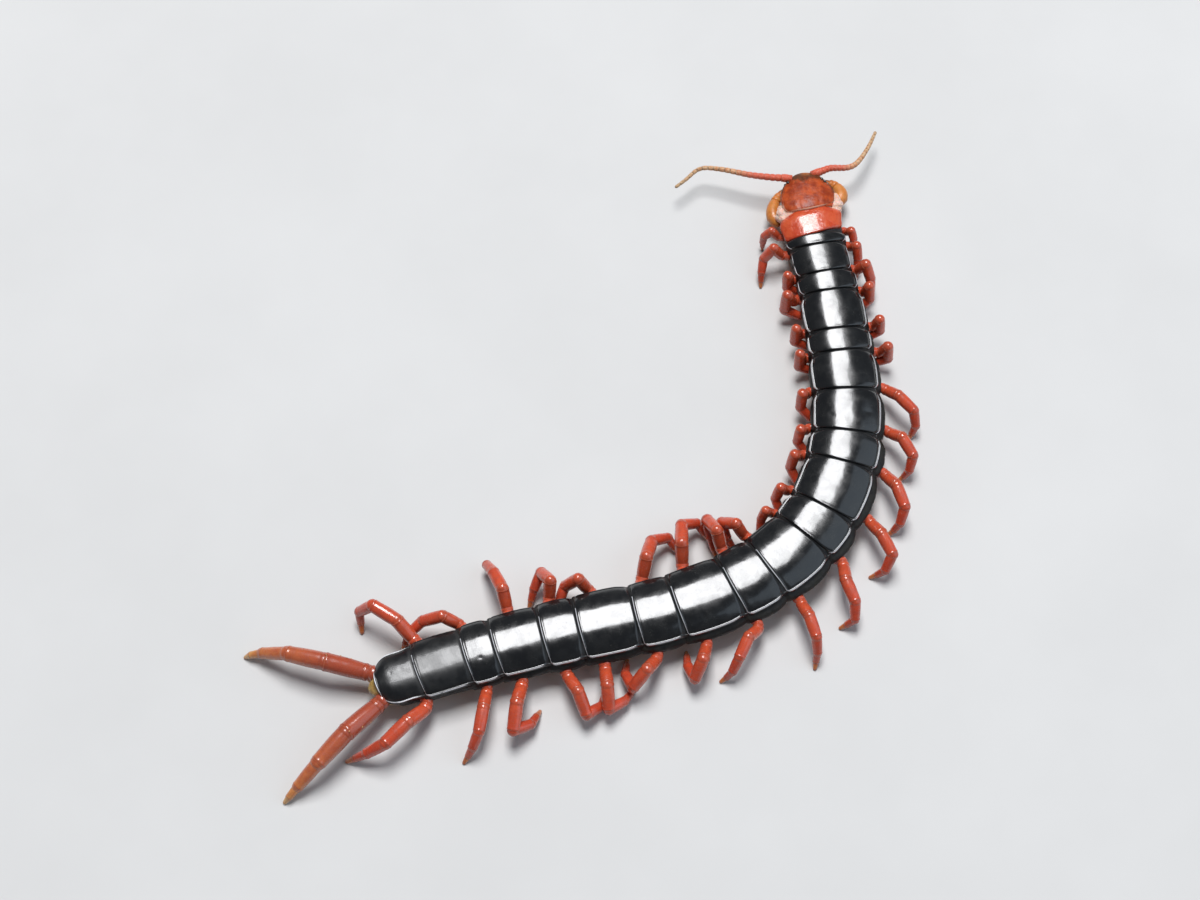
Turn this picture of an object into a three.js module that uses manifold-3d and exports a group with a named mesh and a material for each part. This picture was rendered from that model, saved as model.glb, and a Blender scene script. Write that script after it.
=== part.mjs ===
// Giant centipede, still and life size, in millimetres with +Z up.
// The head end points up the +Y side, the body bends once and trails off towards -X.
// The trunk follows one level curve, the legs stand on the plane Z = 0.

import * as THREE from 'three';
import Module from 'manifold-3d';

const wasm = await Module();
wasm.setup();

// Clearance kept between neighbouring nodes
const GAP = 0.3;
// Slivers thinner than this are closed up where bodies are joined
const SLIVER = 0.02;

// Route of the body's middle line seen from above, from the front of the head to the last plate
const SPINE = [
  [35.6, 50.5], [36.0, 42.8], [37.1, 36.0], [38.8, 27.0], [40.2, 16.0],
  [40.9, 6.0], [39.9, -3.5], [36.3, -13.0], [30.2, -20.6], [21.5, -26.4],
  [11.0, -30.4], [0.0, -33.0], [-12.0, -35.8], [-24.0, -39.3], [-35.4, -43.2],
];
const HEAD_LENGTH = 7.7;

// Back plates from the first behind the head to the last: length, half width at the rear edge
// and height of the back above the floor
const PLATES = [
  [5.0, 5.2, 7.3], [2.2, 5.1, 7.4], [5.4, 4.8, 7.5], [3.8, 5.0, 7.7], [7.4, 5.2, 7.8],
  [4.2, 5.3, 7.9], [7.1, 5.4, 7.9], [7.7, 5.5, 7.9], [5.6, 5.7, 7.9], [8.7, 5.7, 7.9],
  [5.9, 5.8, 7.9], [8.3, 5.8, 7.9], [6.6, 5.8, 7.9], [9.4, 5.7, 7.9], [6.7, 5.5, 7.9],
  [9.2, 5.5, 7.9], [5.9, 5.4, 7.8], [7.8, 5.2, 7.7], [4.9, 5.1, 7.5], [8.0, 4.8, 7.2],
  [6.6, 4.2, 6.8],
];
const BELLY_HEIGHT = 2.0;      // underside of the trunk above the floor
const PLATE_STEP = 0.3;        // how far a plate's rear edge stands over the next plate
const STEP_RUN = 0.12;         // length over which the step down to the next plate falls
const BULGE_AT_JOINT = 0.6;    // part of the flank's bulge that is left between two segments
const FRONT_BELLY = 4.6;       // underside of the first plate's front, over the fang base
const FRONT_BELLY_END = 2.2;   // where along the first plate the belly drops to its own height
const BELLY_DROP_RUN = 0.2;    // length over which the belly drops there
const FRONT_EDGE = { narrow: 0.86, low: 0.4, run: 1.0 };  // front edge of the first plate
const FRONT_SWELL = 1.02;      // width of the first plate at its middle against its rear edge
const PLATE_SWELL = 0.1;       // how much wider a plate is at its widest than at its rear edge
const PLATE_RISE = 0.22;       // part of a plate's length over which it rises from under the last
const PLATE_FULL = 0.7;        // part of a plate's length at which it is widest

// How far the soft flank stands out past each plate's edge: most on the outside of the bend
const BULGES = {
  left: [0, 0, 0, 0, 0, 0, 0.3, 0.5, 0.5, 0.5, 0.5, 0.5, 0.5, 0.5, 0.5, 0.5, 0.5, 0.5, 0.3, 0.2, 0],
  right: [0.2, 0.2, 0.2, 0.3, 0.5, 0.7, 0.8, 0.9, 1.1, 1.2, 1.2, 1.2, 1.1, 0.9, 0.8, 0.7, 0.7, 0.6,
    0.3, 0, 0],
};

// End of the body over the last plate: part of its length, of its half width, and how far the
// back comes down and the belly up
const TAIL_END = [[0.6, 1.0, 0, 0.2], [0.82, 0.86, 0.2, 0.6], [0.95, 0.62, 0.5, 1.2], [1.0, 0.4, 0.9, 1.7]];

// Cross-section of one side of the trunk: part of the half width, part of the height down
// from the back, and part of the flank's bulge, from the ridge of the back to the belly
const SECTION = [
  [0.0, 0.0, 0.0], [0.42, 0.02, 0.0], [0.74, 0.09, 0.0], [0.93, 0.21, 0.0], [1.0, 0.33, 0.0],
  [0.93, 0.42, 0.0], [1.0, 0.54, 1.0], [0.98, 0.83, 0.5], [0.62, 1.0, 0.0], [0.0, 1.0, 0.0],
];

// Leg articles: prefemur, femur, tibia, first tarsus, second tarsus with the claw
const LEG_LENGTHS = [3.3, 3.8, 3.1, 1.9, 1.6];
const LEG_RADII = { root: 0.88, prefemur: 1.02, femur: 0.97, tibia: 0.83, tarsus: 0.57, foot: 0.3 };
const LEG_SIDES = 6;
const HIP_HEIGHT = 3.5;        // middle of a leg's root above the floor
const HIP_REACH = 0.25;        // how far a hip's face stands out past the flank
const HIP_RADIUS = 1.05;
const HIP_DEPTH = 2.4;         // how far a hip's root is sunk into the trunk
const HIP_LIMIT = 35;          // most that a hip turns from straight out, in degrees
const HIP_TURN = 0.7;          // how far before its face a hip starts to turn
const TROCHANTER = 0.55;       // short ring-like article between hip and prefemur
const ANKLE_HEIGHT = 0.95;     // height of the joint between the two tarsi
const TIBIA_SHARE = 0.6;       // part of the fall from knee to ankle that the tibia takes
const STEEPEST = 0.97;         // most that an article drops or rises, in its own lengths
const WAIST = 0.93;            // thickness of an article at its joint against its middle
const TARSUS_TAPER = 0.85;     // thickness of the second tarsus against the first
const ARTICLE_SHARES = [0.34, 0.72];  // where along an article its full thickness lies
const SHARP_BEND = 0;          // cosine of the bend from which a knee is rounded off
const KNEE_REACH = 0.55;       // how far a rounded knee reaches past its joint, in radii
const KNEE_END = 0.5;          // thickness at the end of a rounded knee, in radii

// Part of a plate's length at which its legs leave the flank
const HIP_SHARES = {
  left: [0.63, 0.82, 0.82, 0.82, 0.82, 0.82, 0.82, 0.82, 0.82, 0.82, 0.82, 0.82, 0.62, 0.62, 0.62,
    0.62, 0.62, 0.54, 0.8, 0.8],
  right: [0.76, 0.82, 0.82, 0.82, 0.82, 0.82, 0.82, 0.74, 0.82, 0.74, 0.82, 0.82, 0.82, 0.7, 0.7,
    0.7, 0.58, 0.63, 0.6, 1.0],
};

// Size of each walking leg against the usual one: the first are the shortest, the last the longest
const LEG_SIZES = {
  left: [0.5, 0.78, 0.75, 0.92, 0.78, 0.78, 0.8, 0.75, 0.8, 0.75, 0.62, 0.93, 1.05, 1.15, 1.15, 1, 1,
    1.05, 1, 1.22],
  right: [0.45, 0.65, 0.85, 0.78, 0.76, 0.82, 0.97, 0.92, 1, 1, 1, 0.94, 0.93, 1, 1.05, 1.05, 1.05, 1.14, 1,
    1.27],
};

// Pose of the walking legs in degrees: swing of the prefemur ahead of straight out, turns of the
// femur, tibia and tarsi away from that swing, rise of the prefemur, and fold at the knee
const LEG_POSES = {
  left: [
    [28, -30, -85, -105, 48, 98], [15, -30, -85, -92, 56, 109], [-12, -70, -160, -170, 76, 150],
    [-10, -55, -150, -165, 66, 140], [-10, -67, -162, -168, 75, 148], [-16, -67, -162, -168, 75, 148],
    [-50, -28, -90, -120, 62, 130], [-50, -24, -90, -120, 62, 130], [-55, -22, -80, -110, 62, 130],
    [-50, -24, -90, -120, 62, 130], [-62, -22, -60, -104, 62, 130], [-20, -5, -150, -165, 60, 103],
    [5, -2, -170, -176, 57, 93], [16, 5, 70, 140, 50, 75], [28, 0, 50, 125, 50, 80],
    [-54, -25, -90, -110, 60, 115], [20, -40, -160, -170, 57, 98], [0, -10, -14, 150, 45, 65],
    [-62, -14, -45, -75, 42, 72], [-28, -12, -42, -140, 34, 30],
  ],
  right: [
    [-50, -20, -60, -80, 60, 115], [-55, -30, -45, -60, 60, 118], [-20, -45, -80, -110, 62, 120],
    [-25, -60, -140, -160, 74, 142], [-4, -70, -170, -175, 72, 150], [-14, -62, -170, -175, 68, 148],
    [-52, 4, -26, -78, 36, 48], [-40, -16, -62, -108, 38, 50], [-48, -8, -46, -85, 36, 46],
    [-36, -2, -58, -110, 32, 42], [-50, 21, 0, -74, 30, 40], [-16, -3, -12, -30, 34, 44],
    [-68, 15, 8, -22, 36, 50], [-32, -15, -145, -165, 40, 85], [-45, -15, -125, -155, 40, 80],
    [-8, 0, 120, 142, 32, 70], [15, -5, 100, 140, 28, 60], [-26, 3, 130, 165, 32, 55],
    [-23, -4, -22, -32, 32, 42], [-62, -3, -30, -38, 30, 38],
  ],
};

// The last, thick pair of legs trails behind: articles, radii and headings out from straight back
const TAIL_LENGTHS = [6.5, 6.3, 5.2, 2.2, 1.5];
const TAIL_RADII = { root: 1.3, prefemur: 1.5, femur: 1.3, tibia: 0.95, tarsus: 0.6, foot: 0.34 };
const TAIL_HEADINGS = { left: [30, 34, 32, 20, 12], right: [28, 29, 24, 26, 22] };
const TAIL_HEIGHTS = [4.0, 5.4, 4.6, 2.0, 1.0];
const TAIL_SIDES = 8;
const TAIL_SIDE = 2.7;         // distance of the root from the middle line
const TAIL_BACK = 0.4;         // how far the root's face stands behind the last plate
const TAIL_BOSS = [[4.6, 0.95], [2.0, 1.3], [0.5, 1.2], [0, 1.05]];  // depth, share of the radius

// Feelers: points seen from above with their height, from the head out
const LEFT_FEELER = [
  [31.4, 49.4, 5.6], [29.5, 49.6, 5.5], [26.0, 50.2, 5.3], [20.9, 51.6, 4.9],
  [17.4, 51.9, 4.5], [14.8, 49.8, 4.2], [12.9, 48.3, 4.0],
];
const RIGHT_FEELER = [
  [38.4, 50.8, 5.5], [40.1, 51.5, 5.4], [43.1, 51.7, 5.3], [44.9, 53.0, 5.0],
  [46.9, 56.3, 4.5], [48.5, 60.0, 4.0],
];
const FEELER_ARTICLES = 20;
const FEELER_ROOT_RADIUS = 0.62;
const FEELER_TIP_RADIUS = 0.27;
const FEELER_SWELL = [0.86, 1.06];    // thickness at an article's joint and at its middle
const FEELER_SIDES = 6;
const SOCKET = [[2.2, 0.8], [0.5, 0.72], [0, 0.6]];  // depth and radius of a feeler's socket

// Head shield from its front edge back: distance, half width, underside and top
const HEAD_RINGS = [
  [0.1, 0.9, 5.0, 5.6], [0.7, 2.3, 4.8, 6.0], [2.0, 3.7, 4.7, 6.5], [3.9, 4.6, 4.6, 6.95],
  [5.9, 4.6, 4.6, 7.3], [7.5, 4.2, 4.7, 7.2],
];
const EYE_RADIUS = 0.28;
const EYES = [[1.5, 2.75, 5.8], [2.1, 3.2, 5.95], [1.75, 3.25, 5.4], [2.4, 3.65, 5.5]];

// Fang base under the head, measured along the body from the neck: station, half width on the
// left and on the right
const FANG_BASE_RINGS = [
  [-4.4, 2.1, 2.6], [-3.6, 2.9, 3.9], [-1.5, 3.9, 4.4], [0.6, 4.2, 4.2], [1.8, 4.2, 4.2],
];
const FANG_BASE_BOTTOM = 2.1;
const FANG_BASE_TOP = 4.3;
const TEETH = [0.55, 1.15, 1.7];      // distance of the teeth from the middle
const TOOTH = [[0, 0.36], [0.7, 0.32], [1.15, 0.25]];  // distance out and radius
const TOOTH_HEIGHT = 3.3;
const TOOTH_ROOT = 0.5;               // how deep a tooth starts in the base
const TOOTH_SIDES = 6;
const FANG_SIDES = 8;

// Fangs, from the root on the base to the tip: out from the middle, behind the neck, height,
// radius. The right one is opened further and reaches further ahead.
const FANG_PATHS = {
  left: [
    [5.0, 0.5, 3.3, 1.0], [5.9, -0.2, 3.4, 1.2], [5.9, -2.0, 3.3, 1.1], [4.9, -4.2, 3.1, 0.8],
    [3.4, -5.7, 2.9, 0.55], [1.7, -6.5, 2.8, 0.28],
  ],
  right: [
    [5.2, -2.6, 3.3, 1.0], [6.0, -3.5, 3.4, 1.2], [6.0, -5.0, 3.3, 1.1], [4.9, -6.5, 3.1, 0.8],
    [3.3, -7.0, 2.9, 0.55], [1.6, -6.9, 2.8, 0.28],
  ],
};

const COLOURS = {
  plate: 0x0d0f12, firstPlate: 0xc03c1c, head: 0x9c3418, leg: 0xc6492a, tailLeg: 0xc4582c,
  fang: 0xc87c2c, fangBase: 0xb5622a, feeler: 0xb04a2c,
};

// Smooth curve through points set by hand
function freeCurve(points) {
  const corners = points.map(([x, y, z = 0]) => new THREE.Vector3(x, y, z));
  return new THREE.CatmullRomCurve3(corners, false, 'catmullrom', 0.5);
}

// Middle line of the body and its frame: left is the animal's own left
const spineCurve = freeCurve(SPINE);
spineCurve.arcLengthDivisions = 1500;
const SPINE_LENGTH = spineCurve.getLength();
const UP = new THREE.Vector3(0, 0, 1);

function station(distance) {
  const inside = Math.min(Math.max(distance, 0), SPINE_LENGTH);
  const back = spineCurve.getTangentAt(inside / SPINE_LENGTH);
  const point = spineCurve.getPointAt(inside / SPINE_LENGTH);
  point.addScaledVector(back, distance - inside);
  const left = new THREE.Vector3(back.y, -back.x, 0);
  return { point, back, left };
}

function place(distance, aside, height) {
  const { point, left } = station(distance);
  return point.clone().addScaledVector(left, aside).addScaledVector(UP, height);
}

// Closed skin over a row of rings with the same number of points
function loft(rings) {
  const positions = [];
  const index = [];
  const sides = rings[0].length;
  rings.forEach((ring) => ring.forEach((p) => positions.push(p.x, p.y, p.z)));
  for (let r = 0; r + 1 < rings.length; r += 1) {
    for (let i = 0; i < sides; i += 1) {
      const j = (i + 1) % sides;
      const a = r * sides + i;
      const b = r * sides + j;
      index.push(a, b, b + sides, a, b + sides, a + sides);
    }
  }
  [0, rings.length - 1].forEach((r, end) => {
    const middle = new THREE.Vector3();
    rings[r].forEach((p) => middle.addScaledVector(p, 1 / sides));
    const hub = positions.length / 3;
    positions.push(middle.x, middle.y, middle.z);
    for (let i = 0; i < sides; i += 1) {
      const a = r * sides + i;
      const b = r * sides + ((i + 1) % sides);
      index.push(...(end === 0 ? [b, a, hub] : [a, b, hub]));
    }
  });
  const geometry = new THREE.BufferGeometry();
  geometry.setAttribute('position', new THREE.Float32BufferAttribute(positions, 3));
  geometry.setIndex(index);
  return facingOut(geometry);
}

// Turns every triangle over when the skin encloses a negative volume
function facingOut(geometry) {
  const p = geometry.getAttribute('position');
  const order = geometry.getIndex().array;
  const [a, b, c] = [new THREE.Vector3(), new THREE.Vector3(), new THREE.Vector3()];
  let volume = 0;
  for (let i = 0; i < order.length; i += 3) {
    a.fromBufferAttribute(p, order[i]);
    b.fromBufferAttribute(p, order[i + 1]);
    c.fromBufferAttribute(p, order[i + 2]);
    volume += a.dot(b.cross(c));
  }
  if (volume < 0) {
    for (let i = 0; i < order.length; i += 3) {
      [order[i + 1], order[i + 2]] = [order[i + 2], order[i + 1]];
    }
  }
  return geometry;
}

function toSolid(geometry) {
  const vertProperties = new Float32Array(geometry.getAttribute('position').array);
  const triVerts = new Uint32Array(geometry.getIndex().array);
  return new wasm.Manifold(new wasm.Mesh({ numProp: 3, vertProperties, triVerts }));
}

// One body out of several that overlap: only its largest closed surface is kept
function join(geometries) {
  const fused = geometries.map(toSolid).reduce((sum, next) => sum.add(next));
  const largest = fused.decompose().sort((a, b) => b.volume() - a.volume())[0];
  const { vertProperties, triVerts } = largest.asOriginal().simplify(SLIVER).getMesh();
  const geometry = new THREE.BufferGeometry();
  geometry.setAttribute('position', new THREE.Float32BufferAttribute(vertProperties, 3));
  geometry.setIndex([...triVerts]);
  return geometry;
}

// Tube along joints with a radius at each ring; the rings turn with the path without twisting
function tube(stops, sides) {
  const normal = stops[0].normal.clone();
  const across = new THREE.Vector3().crossVectors(normal, UP).normalize();
  const rings = stops.map((stop) => {
    const turn = new THREE.Quaternion().setFromUnitVectors(normal, stop.normal);
    across.applyQuaternion(turn);
    normal.copy(stop.normal);
    const second = new THREE.Vector3().crossVectors(normal, across);
    return Array.from({ length: sides }, (_, i) => {
      const angle = (2 * Math.PI * i) / sides;
      const p = stop.point.clone().addScaledVector(across, stop.radius * Math.cos(angle));
      p.addScaledVector(second, stop.radius * Math.sin(angle));
      p.z = Math.max(p.z, 0);
      return p;
    });
  });
  return loft(rings);
}

// Direction out from the body's side, swung ahead and raised by degrees
function heading(frame, side, swing, rise) {
  const a = THREE.MathUtils.degToRad(swing);
  const e = THREE.MathUtils.degToRad(rise);
  const level = frame.left.clone().multiplyScalar(side * Math.cos(a));
  level.addScaledVector(frame.back, -Math.sin(a));
  return level.multiplyScalar(Math.cos(e)).addScaledVector(UP, Math.sin(e));
}

// Where each plate starts along the body
const PLATE_STARTS = PLATES.reduce(
  (starts, [length]) => [...starts, starts[starts.length - 1] + length], [HEAD_LENGTH]);

// Value for one leg or one side of a plate out of a table with both sides
function ofSide(table, number, side) {
  return table[side > 0 ? 'left' : 'right'][number - 1];
}

function hip(number, side, swing) {
  const [length, halfWidth] = PLATES[number - 1];
  const frame = station(PLATE_STARTS[number - 1] + length * ofSide(HIP_SHARES, number, side));
  const turn = THREE.MathUtils.clamp(swing, -HIP_LIMIT, HIP_LIMIT);
  const direction = heading(frame, side, turn, 0);
  const out = frame.left.clone().multiplyScalar(side);
  const reach = ofSide(BULGES, number, side) + HIP_REACH;
  const face = frame.point.clone().addScaledVector(out, halfWidth + reach);
  face.z = HIP_HEIGHT;
  return { frame, face, direction, out };
}

// A hip grows straight out of the flank and turns its face towards the leg
function hipBoss({ face, direction, out }, radius) {
  const root = face.clone().addScaledVector(out, -HIP_DEPTH);
  const neck = face.clone().addScaledVector(out, -HIP_TURN).addScaledVector(direction, -GAP);
  const between = out.clone().add(direction).normalize();
  return tube([
    { point: root, normal: out, radius: radius * WAIST },
    { point: neck, normal: between, radius },
    { point: face, normal: direction, radius: radius * WAIST },
  ], LEG_SIDES);
}

// A leg whose joints are known, as one tube with each article a little thinner at its ends.
// Where a joint folds sharply the tube ends in a rounded knee and a new one starts inside it.
function legBody(start, direction, joints, radii, sides) {
  const widths = [radii.prefemur, radii.femur, radii.tibia, radii.tarsus, radii.tarsus * TARSUS_TAPER];
  let stops = [{ point: start, normal: direction, radius: radii.root }];
  const tubes = [];
  widths.forEach((wide, i) => {
    const [from, to] = [joints[i], joints[i + 1]];
    const way = to.clone().sub(from).normalize();
    const before = i === 0 ? direction : from.clone().sub(joints[i - 1]).normalize();
    const narrow = i === 0 ? radii.root : wide * WAIST;
    if (before.dot(way) < SHARP_BEND) {
      const reach = narrow * KNEE_REACH;
      const small = narrow * KNEE_END;
      stops.push({ point: from, normal: before, radius: narrow });
      stops.push({ point: from.clone().addScaledVector(before, reach), normal: before, radius: small });
      tubes.push(tube(stops, sides));
      stops = [
        { point: from.clone().addScaledVector(way, -reach), normal: way, radius: small },
        { point: from, normal: way, radius: narrow },
      ];
    } else {
      stops.push({ point: from, normal: before.clone().add(way).normalize(), radius: narrow });
    }
    (i < 3 ? ARTICLE_SHARES : []).forEach((share) => {
      stops.push({ point: from.clone().lerp(to, share), normal: way, radius: wide });
    });
  });
  stops.push({ point: joints[joints.length - 1], normal: UP.clone().negate(), radius: radii.foot });
  tubes.push(tube(stops, sides));
  return tubes.length > 1 ? join(tubes) : tubes[0];
}

function walkingLeg(number, side) {
  const [swing, femurTurn, tibiaTurn, tarsusTurn, rise, fold] = ofSide(LEG_POSES, number, side);
  const size = ofSide(LEG_SIZES, number, side);
  const { frame, face, direction } = hip(number, side, swing);
  const start = face.clone().addScaledVector(direction, GAP);
  const lengths = LEG_LENGTHS.map((length) => length * size);
  const first = start.clone().addScaledVector(direction, TROCHANTER * size);
  const joints = [first];
  const turns = [0, femurTurn, tibiaTurn, tarsusTurn, tarsusTurn];
  lengths.forEach((length, i) => {
    const from = joints[i];
    const ankle = ANKLE_HEIGHT * size;
    const drops = [
      -length * Math.sin(THREE.MathUtils.degToRad(rise)),
      -length * Math.sin(THREE.MathUtils.degToRad(rise - fold)),
      (from.z - ankle) * TIBIA_SHARE,
      from.z - ankle,
      from.z,
    ];
    const most = length * STEEPEST;
    const drop = THREE.MathUtils.clamp(drops[i], -most, most);
    const level = Math.sqrt(length * length - drop * drop);
    const next = from.clone().addScaledVector(heading(frame, side, swing + turns[i], 0), level);
    next.z -= drop;
    joints.push(next);
  });
  const radii = {};
  Object.entries(LEG_RADII).forEach(([name, radius]) => {
    radii[name] = radius * (size + 1) / 2;
  });
  return legBody(start, direction, joints, radii, LEG_SIDES);
}

// The last legs: headings count out from straight back
function tailRoot(side) {
  const end = PLATE_STARTS[PLATES.length];
  const frame = station(end);
  const turn = TAIL_HEADINGS[side > 0 ? 'left' : 'right'][0];
  const direction = heading(frame, side, turn - 90, 0);
  const face = frame.point.clone().addScaledVector(frame.left, side * TAIL_SIDE);
  face.addScaledVector(frame.back, TAIL_BACK);
  face.z = TAIL_HEIGHTS[0];
  return { frame, face, direction };
}

function tailBoss(side) {
  const { face, direction } = tailRoot(side);
  return tube(TAIL_BOSS.map(([depth, part]) => ({
    point: face.clone().addScaledVector(direction, -depth),
    normal: direction,
    radius: TAIL_RADII.root * part,
  })), TAIL_SIDES);
}

function tailLeg(side) {
  const { frame, face, direction } = tailRoot(side);
  const start = face.clone().addScaledVector(direction, GAP);
  const joints = [start.clone().addScaledVector(direction, TROCHANTER)];
  const turns = TAIL_HEADINGS[side > 0 ? 'left' : 'right'];
  const heights = [...TAIL_HEIGHTS.slice(1), 0];
  TAIL_LENGTHS.forEach((length, i) => {
    const from = joints[i];
    const drop = from.z - heights[i];
    const level = Math.sqrt(length * length - drop * drop);
    const next = from.clone().addScaledVector(heading(frame, side, turns[i] - 90, 0), level);
    next.z -= drop;
    joints.push(next);
  });
  return legBody(start, direction, joints, TAIL_RADII, TAIL_SIDES);
}

// One ring of the trunk, standing square to the middle line, with the bulge of its two flanks
function trunkRing(distance, halfWidth, top, bottom, [leftBulge, rightBulge]) {
  const left = SECTION.map(([wide, down, out]) => (
    [wide * halfWidth + out * leftBulge, top - down * (top - bottom)]));
  const right = SECTION.slice(1, -1).reverse().map(([wide, down, out]) => (
    [-wide * halfWidth - out * rightBulge, top - down * (top - bottom)]));
  return [...left, ...right].map(([aside, height]) => place(distance, aside, height));
}

// Rings of one segment: the plate starts low under the one before it and ends raised
function segmentRings(number, start, end) {
  const [length, halfWidth, top] = PLATES[number - 1];
  const [, widthBefore, topBefore] = PLATES[Math.max(number - 2, 0)];
  const from = PLATE_STARTS[number - 1];
  const full = [ofSide(BULGES, number, 1), ofSide(BULGES, number, -1)];
  const part = (share) => full.map((bulge) => bulge * share);
  const slack = part(BULGE_AT_JOINT);
  if (number === 1) {
    const before = from + FRONT_BELLY_END - BELLY_DROP_RUN / 2;
    return [
      trunkRing(start, halfWidth * FRONT_EDGE.narrow, top - FRONT_EDGE.low, FRONT_BELLY, part(0)),
      trunkRing(from + FRONT_EDGE.run, halfWidth, top, FRONT_BELLY, part(0)),
      trunkRing(before, halfWidth * FRONT_SWELL, top, FRONT_BELLY, part(0)),
      trunkRing(before + BELLY_DROP_RUN, halfWidth * FRONT_SWELL, top, BELLY_HEIGHT, slack),
      trunkRing(end, halfWidth, top, BELLY_HEIGHT, slack),
    ];
  }
  const rings = [
    trunkRing(start, widthBefore - PLATE_STEP, topBefore - PLATE_STEP, BELLY_HEIGHT, slack),
    trunkRing(from + length * PLATE_RISE, halfWidth, top, BELLY_HEIGHT, full),
  ];
  if (number < PLATES.length) {
    const widest = halfWidth + PLATE_SWELL;
    rings.push(trunkRing(from + length * PLATE_FULL, widest, top, BELLY_HEIGHT, full));
    rings.push(trunkRing(end, halfWidth, top, BELLY_HEIGHT, slack));
    return rings;
  }
  TAIL_END.forEach(([share, wide, down, raised]) => {
    const bottom = BELLY_HEIGHT + raised;
    rings.push(trunkRing(from + length * share, halfWidth * wide, top - down, bottom, part(1 - share)));
  });
  return rings;
}

// A length of trunk over one or two plates, with the hips that its legs grow from
function trunkLength(numbers) {
  const rings = [];
  numbers.forEach((number, order) => {
    const first = order === 0;
    const last = order === numbers.length - 1 && number < PLATES.length;
    const start = PLATE_STARTS[number - 1] + (first ? GAP / 2 : STEP_RUN);
    const end = PLATE_STARTS[number] - (last ? GAP / 2 : 0);
    rings.push(...segmentRings(number, start, end));
  });
  const pieces = [loft(rings)];
  numbers.forEach((number) => {
    if (number < PLATES.length) {
      [1, -1].forEach((side) => {
        const radius = HIP_RADIUS * (ofSide(LEG_SIZES, number, side) + 1) / 2;
        const [swing] = ofSide(LEG_POSES, number, side);
        pieces.push(hipBoss(hip(number, side, swing), radius));
      });
    } else {
      pieces.push(tailBoss(1), tailBoss(-1));
    }
  });
  return join(pieces);
}

// Feeler: a row of small swollen articles along a free curve
function feeler(points) {
  const curve = freeCurve(points);
  const stops = [];
  const steps = FEELER_ARTICLES * 2;
  for (let i = 0; i <= steps; i += 1) {
    const u = i / steps;
    const radius = THREE.MathUtils.lerp(FEELER_ROOT_RADIUS, FEELER_TIP_RADIUS, u) * FEELER_SWELL[i % 2];
    stops.push({ point: curve.getPointAt(u), normal: curve.getTangentAt(u), radius });
  }
  return tube(stops, FEELER_SIDES);
}

// Socket on the head that carries a feeler's root
function feelerSocket(points) {
  const curve = freeCurve(points);
  const direction = curve.getTangentAt(0);
  const face = curve.getPointAt(0).addScaledVector(direction, -GAP);
  return tube(SOCKET.map(([depth, radius]) => ({
    point: face.clone().addScaledVector(direction, -depth),
    normal: direction,
    radius,
  })), FEELER_SIDES);
}

function headRing(distance, halfWidth, bottom, top) {
  const half = [
    [0, top], [0.4, top - 0.04 * (top - bottom)], [0.75, top - 0.16 * (top - bottom)],
    [0.95, top - 0.42 * (top - bottom)], [1, top - 0.66 * (top - bottom)],
    [0.88, bottom + 0.1 * (top - bottom)], [0.5, bottom], [0, bottom],
  ];
  const mirrored = half.slice(1, -1).reverse().map(([wide, height]) => [-wide, height]);
  return [...half, ...mirrored].map(([wide, h]) => place(distance, wide * halfWidth, h));
}

function head() {
  const rings = HEAD_RINGS.map(([distance, halfWidth, bottom, top]) => (
    headRing(distance, halfWidth, bottom, top)));
  const pieces = [loft(rings), feelerSocket(LEFT_FEELER), feelerSocket(RIGHT_FEELER)];
  [1, -1].forEach((side) => {
    EYES.forEach(([distance, aside, height]) => {
      const eye = new THREE.IcosahedronGeometry(EYE_RADIUS, 0);
      const p = place(distance, side * aside, height);
      pieces.push(welded(eye.translate(p.x, p.y, p.z)));
    });
  });
  return join(pieces);
}

// Stock geometry with its repeated corners merged
function welded(geometry) {
  const p = geometry.getAttribute('position');
  const seen = new Map();
  const positions = [];
  const index = [];
  for (let i = 0; i < p.count; i += 1) {
    const key = [p.getX(i), p.getY(i), p.getZ(i)].map((v) => v.toFixed(4)).join();
    if (!seen.has(key)) {
      seen.set(key, positions.length / 3);
      positions.push(p.getX(i), p.getY(i), p.getZ(i));
    }
    index.push(seen.get(key));
  }
  const merged = new THREE.BufferGeometry();
  merged.setAttribute('position', new THREE.Float32BufferAttribute(positions, 3));
  merged.setIndex(index);
  return facingOut(merged);
}

// Plate under the head that carries the fangs, with two toothed plates at its front
function fangBase() {
  const rings = FANG_BASE_RINGS.map(([behind, leftWidth, rightWidth]) => {
    const outline = [
      [-1, FANG_BASE_TOP - 0.5], [-0.85, FANG_BASE_TOP], [0.85, FANG_BASE_TOP],
      [1, FANG_BASE_TOP - 0.5], [1, FANG_BASE_BOTTOM + 0.7], [0.7, FANG_BASE_BOTTOM],
      [-0.7, FANG_BASE_BOTTOM], [-1, FANG_BASE_BOTTOM + 0.7],
    ];
    return outline.map(([wide, height]) => (
      place(HEAD_LENGTH + behind, wide * (wide > 0 ? leftWidth : rightWidth), height)));
  });
  const pieces = [loft(rings)];
  const toothFront = FANG_BASE_RINGS[0][0];
  [1, -1].forEach((side) => {
    TEETH.forEach((aside) => {
      const root = place(HEAD_LENGTH + toothFront + TOOTH_ROOT, side * aside, TOOTH_HEIGHT);
      const direction = station(HEAD_LENGTH).back.clone().negate();
      pieces.push(tube(TOOTH.map(([out, radius]) => ({
        point: root.clone().addScaledVector(direction, out),
        normal: direction,
        radius,
      })), TOOTH_SIDES));
    });
  });
  return join(pieces);
}

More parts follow.
